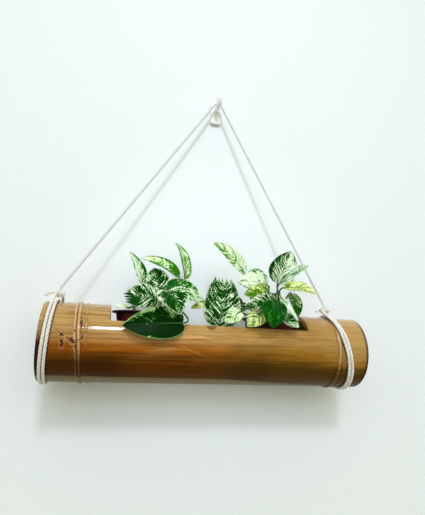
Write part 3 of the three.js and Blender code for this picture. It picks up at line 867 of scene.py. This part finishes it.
def cupRings(face, end):  # a dished septum and the hollow from it to the open end
    inward = 1 if end < face else -1
    rings = [(face + inward * depth * mm, bore(face) * share) for depth, share in culm["dish"]]
    return rings + [(x, bore(x)) for x in spread(face - inward * culm["dishEdge"], end, 5)]


def culmRings():  # of the outside with both cups, and of the room between the septa
    septum = culm["septum"] / 2
    before, after = culm["nodeSpan"]
    slotLeft, slotRight = (axis.x + place for place in culm["slot"])
    stations = [culm["left"]]
    for place, count in ((leftNode - before, 5), (leftNode + after, 24), (slotLeft, 4),
                         (slotRight, culm["slotSteps"]), (rightNode - before, 5), (rightNode + after, 24),
                         (culm["right"], 5)):
        stations += spread(stations[-1], place, count)[1:]
    outside = cupRings(leftNode - septum, culm["left"]) + [(x, skinRadius(x)) for x in stations]
    outside += cupRings(rightNode + septum, culm["right"])[::-1]
    ends = leftNode + septum, rightNode - septum
    room = [(x, bore(x)) for x in (ends[0], *spread(slotLeft, slotRight, culm["slotSteps"]), ends[1])]
    first, last = ((x, bore(x) * culm["chamberCentre"]) for x in ends)
    return outside, [first, *room, last]


def cutSlot(piece):
    pickAll(False)
    bpy.ops.mesh.select_mode(type="FACE")
    shape = bmesh.from_edit_mesh(piece.data)
    for face in shape.faces:
        at = face.calc_center_median() - axis
        angle = abs(degrees(atan2(at.y, at.z)))
        face.select_set(culm["slot"][0] < at.x < culm["slot"][1] and angle < culm["slotHalfAngle"])
    bpy.ops.mesh.delete(type="FACE")
    bpy.ops.mesh.select_mode(type="EDGE")
    bpy.ops.mesh.select_non_manifold()
    bpy.ops.mesh.bridge_edge_loops()
    faceOutward()
    pickAll(False)
    bpy.ops.mesh.edges_select_sharp(sharpness=radians(culm["sharpAngle"]))
    bpy.ops.mesh.bevel(offset=culm["edgeBevel"], segments=3, affect="EDGES")


def makeCulm():
    piece = emptyPiece("bambooCulm")
    openEdit(piece)
    for rings in culmRings():
        extrudedRings(rings, axis, "X", culm["steps"])
    cutSlot(piece)
    shape = bmesh.from_edit_mesh(piece.data)
    whole, none = culm["leanReach"]
    for vert in shape.verts:  # a grown stem isn't quite round, and its left node leans
        at = vert.co - axis
        out = Vector((0, at.y, at.z)).normalized()
        spot = Vector((at.x, out.y, out.z)) * culm["unroundScale"]
        vert.co += out * culm["unround"] * noise.noise(spot)
        for node, shift, lean, _, _ in nodeMarks:
            close = min(1, max(0, (none - abs(vert.co.x - node)) / (none - whole)))
            vert.co.x += (shift + lean * out.z) * close * close * (3 - 2 * close)
    for face in shape.faces:  # skin outside, inner wall inside, and sawn between
        at = face.calc_center_median() - axis
        radius = hypot(at.y, at.z)
        out = face.normal.dot(Vector((0, at.y, at.z)).normalized()) if radius > 0 else 0
        depth = radius - bore(at.x + axis.x)
        outside = out > culm["skinFacing"] and depth > culm["skinDepth"] * culm["wall"]
        face.material_index = 0 if outside else 2 if depth < culm["innerDepth"] else 1
    closeEdit(piece)
    painted(smooth(piece, 30), makeSkin(), makeSawn(), makeInside())
    placed(piece, "planter", "culm")
    print("culm made:", len(piece.data.polygons), "faces")


makeCulm()


# nursery pots, soil and stems

pot = {
    "baseRadius": 23 * mm, "wall": 1.4 * mm, "floor": 1.6 * mm, "steps": 96,
    "rimTop": 39 * mm, "rimHeight": 5 * mm, "rimOverhang": 5 * mm, "lip": 2 * mm, "soilBelowRim": 7 * mm,
    "holes": 5, "holeCircle": 14 * mm, "holeRadius": 3 * mm, "holeSteps": 24, "drillDepth": 8 * mm,
}
potCentre = {side: Vector((middleOf(side + "_pot").x, axis.y, axis.z)) for side in sides}
soilTop = {side: potCentre[side] + Vector((0, 0, pot["rimTop"] - pot["soilBelowRim"])) for side in sides}


def makePlastic():
    seen = {"black": tone(26, 22, 24), "maroon": tone(100, 24, 28), "dust": tone(92, 84, 76)}
    material, tree, shader = newMaterial("potPlastic")
    coords = objectCoords(tree)
    dust = noisy(coords, 220, 4, 0.65)
    rimFoot = axis.z + pot["rimTop"] - pot["rimHeight"]
    color = mix(ramp(noisy(coords, (40, 40, 14), 2), 0.4, 0.62, 0, 0.9), seen["black"], seen["maroon"])
    color = mix(ramp(partsOf(coords)["Z"], rimFoot - 2 * mm, rimFoot, 0, 0.85), color, seen["black"])
    color = mix(ramp(dust, 0.6, 0.8, 0, 0.35), color, seen["dust"])
    feed(shader, color=color, roughness=ramp(dust, 0.3, 0.7, 0.3, 0.5), specular=0.45,
         normal=bump(dust, 0.15, 0.2 * mm))
    return material


def makeEarth():
    crumbs = ((420, 5, 0.7), (0.35, 0.7), tone(84, 60, 40))
    perlite = ("perlite", (0, 1), tone(224, 220, 208))
    return layered("pottingSoil", tone(38, 26, 18), (crumbs, perlite), (0.9, 0.8 * mm), roughness=0.95,
                   specular=0.15)


def makePot(side, plastic):
    low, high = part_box(side + "_pot")
    centre, base, top, under = potCentre[side], low.z, high.z, high.z - pot["lip"]
    rim, wall, floor = (high.x - low.x) / 2, pot["wall"], low.z + pot["floor"]
    foot, neck = pot["baseRadius"], rim - pot["rimOverhang"]

    def cone(z):
        return foot + (neck - foot) * (z - base) / (top - base)

    # heights and radii up the outside, over the rim and down the inside
    rings = [(base + 0.8 * mm, foot * 0.72), (base, foot * 0.8), (base, foot - 1 * mm),
             (base + 0.4 * mm, foot - 0.3 * mm)]
    rings += [(z, cone(z)) for z in spread(base + 1.2 * mm, under - 1.2 * mm, 8)]
    rings += [(under - 0.4 * mm, neck + 0.5 * mm), (under, neck + 1.4 * mm), (under, rim - 0.8 * mm),
              (under + 0.3 * mm, rim - 0.2 * mm), (top - 1 * mm, rim), (top - 0.3 * mm, rim - 0.3 * mm),
              (top, rim - 1 * mm), (top, neck - wall + 1.2 * mm), (top - 0.4 * mm, neck - wall + 0.3 * mm)]
    rings += [(z, cone(z) - wall) for z in spread(top - 1.4 * mm, floor + 1.5 * mm, 8)]
    rings += [(floor + 0.4 * mm, foot - wall - 0.6 * mm), (floor + 0.1 * mm, foot - wall - 1.8 * mm),
              (floor + 0.8 * mm, foot * 0.6)]
    piece = turnedPiece(side + "Pot", rings, centre, pot["steps"])
    drills = []
    for index in range(pot["holes"]):
        turn = 2 * pi * index / pot["holes"]
        place = (centre.x + pot["holeCircle"] * cos(turn), centre.y + pot["holeCircle"] * sin(turn),
                 base + pot["floor"] / 2)
        deselect()
        bpy.ops.mesh.primitive_cylinder_add(vertices=pot["holeSteps"], radius=pot["holeRadius"],
                                            depth=pot["drillDepth"], location=place)
        drills.append(settled(named(f"drill{index}")))
    withTool(piece, joined(*drills), "DIFFERENCE")
    placed(painted(smooth(piece, 40), plastic), side + "_potted_plant", side + "_pot")


soil = {
    "steps": 64, "crown": 2 * mm,
    "lumps": ((1.3 * mm, 120), (0.7 * mm, 330)),  # height, noise scale
    "crumbs": 46, "whiteEvery": 4, "whiteSize": (0.8, 1.5), "brownSize": (1.0, 2.3),
    "crumbReach": 0.9, "crumbSunk": 0.2 * mm,
    "crumbRough": (0.45, 700),  # share of the radius, noise scale
}


def makeSoil(side, earth):
    low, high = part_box(side + "_soil")
    centre, radius = potCentre[side], (high.x - low.x) / 2
    top, narrow = soilTop[side].z, pot["baseRadius"] - pot["wall"] - 0.6 * mm
    rings = [(low.z, narrow * 0.5), (low.z, narrow), (top - 5 * mm, radius - 0.6 * mm),
             (top - 1.2 * mm, radius - 0.3 * mm)]
    rings += [(top - (0.6 - 0.6 * k / 9) * mm, radius * (1 - 0.11 * k)) for k in range(1, 9)]
    piece = turnedPiece(side + "Soil", rings, centre, soil["steps"])
    shape = openEdit(piece)
    for vert in shape.verts:
        if vert.co.z > top - soil["crown"]:
            flat = Vector((vert.co.x, vert.co.y, 0))
            vert.co.z += sum(height * noise.noise(flat * scale) for height, scale in soil["lumps"])
    closeEdit(piece)
    marked(piece, "perlite", 0.0)
    crumbs = []
    rough, scale = soil["crumbRough"]
    for index in range(soil["crumbs"]):
        turn = random.uniform(0, 2 * pi)
        reach = radius * soil["crumbReach"] * sqrt(random.random())
        white = index % soil["whiteEvery"] == 0
        size = random.uniform(*soil["whiteSize" if white else "brownSize"]) * mm
        place = Vector((centre.x + reach * cos(turn), centre.y + reach * sin(turn), top - soil["crumbSunk"]))
        deselect()
        bpy.ops.mesh.primitive_ico_sphere_add(subdivisions=2, radius=size, location=place)
        crumb = settled(named(f"crumb{index}"))
        lump = openEdit(crumb)
        for vert in lump.verts:
            vert.co = place + (vert.co - place) * (1 + rough * noise.noise(vert.co * scale))
        closeEdit(crumb)
        marked(crumb, "perlite", 1.0 if white else 0.0)
        crumbs.append(crumb)
    joined(piece, *crumbs)
    placed(painted(smooth(piece, 50), earth), side + "_potted_plant", side + "_soil")


stems = {  # foot and lean across the soil, and height, in millimetres
    "left": (((-12, 6), (4, -2), 32), ((10, -8), (6, -4), 36), ((18, 10), (14, 2), 46)),
    "right": (((-16, 6), (-10, 2), 42), ((2, -10), (-2, -4), 34), ((14, 6), (2, -2), 46)),
}
stemShape = {
    "radius": 2.4 * mm, "slim": 0.92, "steps": 24, "joints": 3, "swell": 0.16, "crispness": 8,
    "tipSteps": 2, "tipLeast": 0.04,
    "foot": 0.3, "rooted": -4.0,  # millimetres from the soil's top
}


def onStem(side, index, height):
    (footX, footY), (leanX, leanY), top = stems[side][index]
    share = (height - stemShape["foot"]) / (top - stemShape["foot"])
    offset = Vector((footX + leanX * share ** 2, footY + leanY * share ** 2, height)) * mm
    return soilTop[side] + offset


def stemHeading(side, index, height):
    return (onStem(side, index, height + 0.5) - onStem(side, index, height - 0.5)).normalized()


def makeGreenStem():
    streaks = (((500, 500, 60),), (0.4, 0.65), tone(176, 192, 122))
    marks = ((260, 3, 0.6), (0.6, 0.75, 0, 0.6), tone(120, 96, 58))
    return layered("stemGreen", tone(104, 140, 62), (streaks, marks), (0.3, 0.2 * mm), roughness=0.45,
                   specular=0.4)


def makeStem(side, index, green):
    steps = stemShape["steps"]
    heights = spread(stemShape["rooted"], stems[side][index][2], steps)
    points = [onStem(side, index, height) for height in heights]
    radii = []
    for k in range(steps + 1):  # swollen joints and a rounded tip
        ripple = cos(2 * pi * stemShape["joints"] * k / steps) ** stemShape["crispness"]
        tip = min(1, sqrt(max(stemShape["tipLeast"], (steps - k) / stemShape["tipSteps"])))
        radii.append(stemShape["slim"] * (1 + stemShape["swell"] * ripple) * tip)
    piece = curveTube(f"{side}Stem{index + 1}", points, stemShape["radius"], 5, radii)
    placed(painted(smooth(piece, 60), green), side + "_potted_plant", f"{side}_stem_{index + 1}")


stemGreen, plastic, earth = makeGreenStem(), makePlastic(), makeEarth()
for side in sides:
    makePot(side, plastic)
    makeSoil(side, earth)
    for index in range(len(stems[side])):
        makeStem(side, index, stemGreen)
print("pots, soil and stems made")


# leaves: a marbled blade with its stalk

blade = {
    "along": 40, "across": 22, "thickness": 0.7 * mm,
    "crowding": 1.5,  # rows lie closer together near the base
    "shoulder": 0.42, "neck": 0.7 * mm, "taper": 0.9, "fill": (0.8, 1.9),  # at the base, and more at the tip
    "lobe": 0.16, "trough": 0.22, "fullness": 1.15, "tears": 8, "tearShift": 0.2,
    "waves": 9, "waveHeight": 0.05, "wavePhases": (2.1, 1.3),  # from leaf to leaf, and from side to side
    "grooveDepth": 0.35 * mm, "grooveWidth": 0.09,
    "veinPairs": 7, "veinSweep": 0.3, "veinHeight": 0.03 * mm,
    "seedFrom": {"left": 0, "right": 40}, "seedStep": 3.7,
}

stalkShape = {
    "radius": 1.1 * mm, "radii": [1.5, 1.3] + [1] * 15 + [0.9, 0.7, 0.5, 0.3, 0.12],
    "root": 0.6 * mm, "start": 2.2 * mm, "points": 17, "handles": (0.35, 0.32), "tone": tone(60, 108, 48),
}

# tones of a leaf's dark, middle and pale parts
greens = {
    "deep": (tone(0, 56, 0), tone(36, 134, 14), tone(226, 242, 208)),
    "black": (tone(0, 40, 0), tone(30, 98, 18), tone(166, 202, 126)),
    "mid": (tone(2, 86, 0), tone(76, 162, 30), tone(228, 243, 210)),
    "light": (tone(40, 118, 4), tone(130, 194, 58), tone(234, 248, 216)),
    "grey": (tone(22, 92, 20), tone(126, 180, 106), tone(228, 244, 222)),
    "yellow": (tone(50, 108, 0), tone(162, 192, 54), tone(231, 239, 174)),
    "plain": (tone(2, 72, 2), tone(20, 98, 14), tone(78, 142, 52)),
}

# stem, height of the stalk's foot, base, tip, facing, width, arch; then the look:
# greens, share of pale, more towards tip, more towards the right side, more towards the edges, streaking
leaves = {
    "left": (
        (0, 27, (-4, -2, 43), (-22, 6, 84), (0.7, -0.7, 0.2), 20, 3, "mid", 0.62, 0.1, -0.16, -0.4, 0.5),
        (2, 36, (41, 0, 56), (-8, -6, 75), (0.3, -0.8, 0.5), 18, 8, "light", 0.48, 0.7, 0, -0.35, 0.6),
        (2, 44, (53, 19, 57), (38, 20, 105), (0.7, -0.7, 0.1), 20, 7, "light", 0.49, 0, 0.1, -0.35, 0.5),
        (0, 20, (18, -6, 35), (10, 6, 65), (-0.2, -1, 0.4), 28, 4, "deep", 0.45, -0.3, 0, 0.1, 0.6),
        (1, 12, (11, -27, 23), (-28, -26, 23), (-0.1, -1, 0.3), 30, 3, "deep", 0.39, 0, 0.1, 0.1, 0.9),
        (1, 27, (24, -42, 31), (37, -62, 3), (0, -0.8, 0.6), 38, 5, "deep", 0.41, -0.2, 0, 0.35, 0.5),
        (1, 33, (25, -22, 39), (71, -20, 25), (0.1, -0.9, 0.4), 27, 5, "mid", 0.42, 0.8, 0, 0, 0.6),
        (2, 24, (43, -46.6, -6), (-25, -50.6, -12), (0, -1, 0.2), 38, 3, "black", 0.27, 0.1, 0.3, 0.34, 0.4),
        (0, 14, (-21, -13, 10.5), (-36, -15, 10), (0, -0.5, 0.9), 11, 2, "light", 0.65, 0, 0, 0, 0.5),
    ),
    "right": (
        (0, 26, (-74, -22, -8), (-70, -18, 56), (0.05, -1, 0.15), 47, 4, "deep", 0.41, 0, 0, 0.05, 1.0),
        (0, 40, (-36, 4, 69), (-81, -4, 104), (0.3, -0.9, 0.3), 24, 6, "light", 0.53, -0.3, 0.14, 0, 0.8),
        (0, 33, (-6, -9, 51), (-48, -12, 53), (0, -0.9, 0.4), 37, 4, "deep", 0.57, 0.3, 0, -0.1, 0.4),
        (2, 44, (10, -5, 57), (25, -16, 99), (-0.2, -1, 0.3), 36, 4, "deep", 0.58, -0.3, 0.22, -0.35, 0.8),
        (2, 36, (9, -15, 54), (42, -32, 78), (-0.3, -0.8, 0.5), 16, 4, "grey", 0.55, 0, 0, 0.2, 0.9),
        (2, 27, (9, -33, 46), (48, -44, 39), (0.2, -0.7, 0.7), 24, 4, "yellow", 0.53, 0.3, 0, 0, 0.6),
        (1, 29, (-14, -32, 39), (-46, -34, 34), (0, -0.9, 0.3), 20, 3, "yellow", 0.42, 0, 0, 0, 0.5),
        (2, 31.5, (-17, -56, 25), (-16.5, -59, -7), (0, -1, 0.3), 31, 4, "plain", 0.36, 0, 0, 0.1, 0.3),
        (1, 23, (-6, -41.5, 26), (-47, -42.5, 18), (0, -0.9, 0.4), 22, 3, "deep", 0.38, 0, 0.2, 0.1, 0.8),
        (0, 18, (-50, -34, 12), (-70, -36, -2), (-0.2, -1, 0.3), 18, 2, "light", 0.55, 0, 0, 0, 0.8),
        (1, 14, (-25, -42, 13), (-43, -42, -6), (0, -1, 0.4), 22, 3, "yellow", 0.53, 0, 0, 0, 1.0),
        (1, 18, (23, -20, 40), (30, -26, 11), (0.3, -1, 0.3), 20, 2, "mid", 0.38, -0.5, 0, 0, 0.4),
        (2, 12, (-1, -45, 8), (21, -48, -4), (0, -0.9, 0.5), 17, 2, "deep", 0.55, 0, 0, 0, 0.6),
        (0, 12, (-82, -4, 22), (-107, -6, 15), (0, -0.7, 0.7), 13, 2, "yellow", 0.5, 0, 0, 0, 0.4),
        (0, 22, (-32, 17, 28), (-58, 15, 15), (0, -1, 0.2), 26, 3, "deep", 0.4, 0, 0, 0, 0.5),
        (2, 22, (-5, -51, 32), (18, -52, 4), (0.3, -1, 0.3), 7, 1, "grey", 0.62, 0, 0, 0, 0.5),
    ),
}

# leaves with a torn tip: how blunt it is, how deep the tears are and how far its corners are worn back
torn = {"left5": (0.2, 0.24, 0.16), "right1": (0.19, 0.1, 0.0)}

marble = {
    "swept": {"grey": (60, 900)}, "sweptElse": (620, 95),  # noise scales along the veins' lanes and across
    "sweep": 0.9, "clouds": 80, "flecks": 640, "veinGap": 5.625 * mm,
    "streakShare": 1.7, "calm": 1.25, "fleckShare": 0.8,
    "middle": (0.44, 0.48), "pale": (0.53, 0.57),  # cover at which a tone begins and is whole
    "fan": (0.9, 1.0, 0, 0.12), "margin": (0.94, 0.98, 0, 0.4), "midrib": (0.02, 0.05, 0.4, 0),
}


def makeMarbling():
    # map: along the blade 0 to 1, across it -1 to 1; length and half width in metres
    inputs = {"Vector": ("Map",), "Color": ("Dark Tone", "Middle Tone", "Pale Tone"),
              "Float": ("Length", "Half", "Seed", "Pale", "Tip", "Side", "Edge", "Streak", "Swept", "Split")}
    outputs = {"Color": ("Color",), "Float": ("Height", "Roughness")}
    tree, given, result = newGroup("leafMarbling", inputs, outputs)
    parts = partsOf(given["Map"])
    along, across = parts["X"], parts["Y"]
    wide = abs(across)
    metresAlong, metresAcross = along * given["Length"], across * given["Half"]
    lane = metresAlong - abs(metresAcross) * marble["sweep"]
    flat = combine(metresAlong, metresAcross, given["Seed"] * 0.02)
    streaks = noisy(combine(lane * given["Swept"], metresAcross * given["Split"], given["Seed"]), 1.0, 2, 0.5)
    clouds = noisy(flat, marble["clouds"], 2, 0.5)
    flecks = noisy(flat, marble["flecks"], 2, 0.6)

    cover = (streaks - 0.5) * (given["Streak"] * marble["streakShare"])
    cover += (clouds - 0.5) * (marble["calm"] - given["Streak"])
    cover += (flecks - 0.5) * marble["fleckShare"]
    biases = {"Tip": along - 0.5, "Side": ramp(across, -0.5, 0.5, -1.0, 1.0),
              "Edge": ramp(wide, 0.5, 1.0, -0.2, 1.0)}
    for bias, spot in biases.items():
        cover += spot * (given[bias] * 0.5)
    cover += given["Pale"]
    color = mix(ramp(cover, *marble["middle"]), given["Dark Tone"], given["Middle Tone"])
    color = mix(ramp(cover, *marble["pale"]), color, given["Pale Tone"])
    fan = calc("SINE", lane * (2 * pi / marble["veinGap"]))
    color = mix(ramp(fan, *marble["fan"]), color, given["Middle Tone"])
    margin = ramp(wide, *marble["margin"]) * ramp(given["Edge"], -0.05, 0.0)
    color = mix(margin, color, given["Pale Tone"])
    color = mix(ramp(wide, *marble["midrib"]), color, given["Middle Tone"])
    plug(result, {"Color": color, "Height": fan * -0.08 + clouds * 0.6,
                  "Roughness": ramp(flecks, 0.3, 0.7, 0.32, 0.46)})
    return tree


marbling = makeMarbling()


def leafMaterial(name, length, half, seed, look):
    shade, pale, tip, side, edge, streak = look
    material, tree, shader = newMaterial(name)
    flat = stretch(put(tree, "ShaderNodeUVMap", uv_map="bladeMap"), (1, 2, 1), (0, -1, 0))
    dark, middle, light = greens[shade]
    swept, split = marble["swept"].get(shade, marble["sweptElse"])
    made = outputsOf(put(tree, "ShaderNodeGroup", {
        "Map": flat, "Length": length, "Half": half, "Seed": seed, "Pale": pale, "Tip": tip, "Side": side,
        "Edge": edge, "Streak": streak, "Swept": swept, "Split": split,
        "Dark Tone": dark, "Middle Tone": middle, "Pale Tone": light}, node_tree=marbling))
    color = mix(attribute(tree, "stalk"), made["Color"], stalkShape["tone"])
    feed(shader, color=color, roughness=made["Roughness"], specular=0.06,
         normal=bump(made["Height"], 0.5, 0.4 * mm))
    return material


def bladePoint(u, v, length, width, arch, seed, tears):  # ahead, aside and lifted
    blunt, tear, worn = tears
    rounded = sqrt(1 - (1 - min(u / blade["shoulder"], 1)) ** 2)
    fill, more = blade["fill"]
    outline = ((1 - u) ** blade["taper"] + blunt * u ** 4) * (fill + more * u) * rounded
    half = blade["neck"] + width / 2 * outline
    ahead = length * (u - blade["lobe"] * v * v * (1 - u) ** 3 * rounded)
    ahead -= length * u ** 5 * (tear * abs(sin(blade["tears"] * v + blade["tearShift"])) + worn * v * v)
    perLeaf, perSide = blade["wavePhases"]
    phase = perLeaf * seed + (perSide if v > 0 else 0)
    lift = 4 * arch * u * (1 - u) + blade["trough"] * half * v * v
    lift += blade["waveHeight"] * half * v * v * sin(blade["waves"] * u + phase)
    lift -= blade["grooveDepth"] * exp(-(v / blade["grooveWidth"]) ** 2) * (1 - u)
    vein = sin(2 * pi * blade["veinPairs"] * (u - blade["veinSweep"] * abs(v)))
    lift += blade["veinHeight"] * vein * min(1, 4 * abs(v)) * (1 - u * u)
    return ahead, half * v, lift


def makeStalk(name, leave, heading, base, rib, forward):  # from the stem to the blade and along its rib
    out = base - leave
    out = (out - heading * out.dot(heading)).normalized()
    start = leave + out * stalkShape["start"]
    reach = (base - start).length
    first, second = (share * reach for share in stalkShape["handles"])
    bend = interpolate_bezier(start, start + out * first, base - forward * second, base, stalkShape["points"])
    points = [leave + out * stalkShape["root"], *bend, *rib]
    stalk = curveTube(name, points, stalkShape["radius"], 2, stalkShape["radii"])
    marked(stalk, "stalk", 1.0)
    while stalk.data.uv_layers:
        stalk.data.uv_layers.remove(stalk.data.uv_layers[0])
    return stalk


def makeLeaf(side, number, row):
    stem, foot, base, tip, faces, width, arch = row[:7]
    base, tip = (soilTop[side] + Vector(point) * mm for point in (base, tip))
    width, arch = width * mm, arch * mm
    length = (tip - base).length
    forward = (tip - base).normalized()
    upward = Vector(faces)
    upward = (upward - forward * upward.dot(forward)).normalized()
    sideways = forward.cross(upward)
    seed = number + blade["seedFrom"][side]
    tears = torn.get(f"{side}{number}", (0, 0, 0))

    deselect()
    bpy.ops.mesh.primitive_grid_add(x_subdivisions=blade["along"], y_subdivisions=blade["across"], size=2)
    piece = named(f"{side}Leaf{number}")
    piece.data.uv_layers[0].name = "bladeMap"
    shape = openEdit(piece)
    flat = shape.loops.layers.uv.active
    for vert in shape.verts:
        u, v = ((vert.co.x + 1) / 2) ** blade["crowding"], vert.co.y
        for loop in vert.link_loops:
            loop[flat].uv = (u, (v + 1) / 2)
        ahead, aside, lift = bladePoint(u, v, length, width, arch, seed, tears)
        vert.co = base + forward * ahead + sideways * aside + upward * lift
    closeEdit(piece)
    withModifier(piece, "SOLIDIFY", thickness=blade["thickness"], offset=0, use_even_offset=False)
    marked(piece, "stalk", 0.0)
    rib = [base + forward * length * u + upward * 4 * arch * u * (1 - u) for u in spread(0, 0.5, 4)[1:]]
    heading = stemHeading(side, stem, foot)
    joined(piece, makeStalk(f"{side}Stalk{number}", onStem(side, stem, foot), heading, base, rib, forward))
    half = width / 2 * blade["fullness"]
    material = leafMaterial(f"{side}Leaf{number}", length, half, seed * blade["seedStep"], row[7:])
    placed(painted(smooth(piece, 60), material), side + "_potted_plant", f"{side}_leaf_{number}")


for side in sides:
    for number, row in enumerate(leaves[side], 1):
        makeLeaf(side, number, row)
print("leaves made:", sum(len(rows) for rows in leaves.values()))


# the stick-on hook

hook = {
    "pad": (14 * mm, 35 * mm, 1 * mm), "padCorner": 3 * mm, "padEdge": 0.25 * mm,
    "plate": (16 * mm, 37 * mm, 2.6 * mm), "plateCorner": 4 * mm, "plateEdge": 0.7 * mm, "plateGap": 0.3 * mm,
    "pegRoute": ((-2.6, 3), (-8, 3), (-14, 3), (-19, 3.1), (-22.2, 4.1), (-24.6, 6.4), (-25.9, 9.5),
                 (-26.1, 13)),
    "pegRadius": 3.8 * mm, "pegFoot": [1.5, 1.18], "pegTip": [0.93, 0.8, 0.55],  # shares of it at both ends
}


def makeGloss():
    wear = ((300,), (0.4, 0.7), tone(242, 244, 242))
    return layered("hookPlastic", tone(252, 253, 252), (wear,), (0.1, 0.1 * mm),
                   roughness=(0.3, 0.7, 0.2, 0.32), specular=0.5)


def makeFoam():
    cells = ((1500, 4, 0.7), (0.35, 0.65), tone(240, 243, 240))
    return layered("padFoam", tone(222, 226, 222), (cells,), (0.5, 0.2 * mm), roughness=0.85)


def roundedPlate(name, size, back, corner, edge):
    # a slab against the wall with rounded corners and a softened front edge
    wide, high, thick = size
    deselect()
    bpy.ops.mesh.primitive_cube_add(size=1, location=(0, back - thick / 2, 0))
    piece = named(name)
    piece.scale = (wide, thick, high)
    shape = openEdit(settled(piece))
    bpy.ops.mesh.select_mode(type="EDGE")
    pickAll(False)
    for rim in shape.edges:
        rim.select_set(abs(rim.verts[0].co.y - rim.verts[1].co.y) > thick / 2)
    bpy.ops.mesh.bevel(offset=corner, segments=8, affect="EDGES")
    pickAll(False)
    shape = bmesh.from_edit_mesh(piece.data)
    for rim in shape.edges:
        front = all(vert.co.y < back - thick + 0.01 * mm for vert in rim.verts)
        rim.select_set(front and len(rim.link_faces) == 2
                       and rim.link_faces[0].normal.dot(rim.link_faces[1].normal) < 0.5)
    bpy.ops.mesh.bevel(offset=edge, segments=4, affect="EDGES")
    bpy.ops.object.mode_set(mode="OBJECT")
    return piece


def makeHook():
    plateBack = -hook["pad"][2] - hook["plateGap"]
    plate = roundedPlate("wallHook", hook["plate"], plateBack, hook["plateCorner"], hook["plateEdge"])
    route = cornersCut([Vector((0, y, z)) * mm for y, z in hook["pegRoute"]], 2)
    straight = len(route) - len(hook["pegFoot"]) - len(hook["pegTip"])
    radii = hook["pegFoot"] + [1.0] * straight + hook["pegTip"]
    withTool(plate, curveTube("peg", route, hook["pegRadius"], 8, radii), "UNION")
    placed(painted(smooth(plate, 35), makeGloss()), "hook", "wall_hook")
    pad = roundedPlate("stickyPad", hook["pad"], 0, hook["padCorner"], hook["padEdge"])
    placed(painted(smooth(pad, 35), makeFoam()), "hook", "adhesive_pad")
    print("hook and pad made")


makeHook()
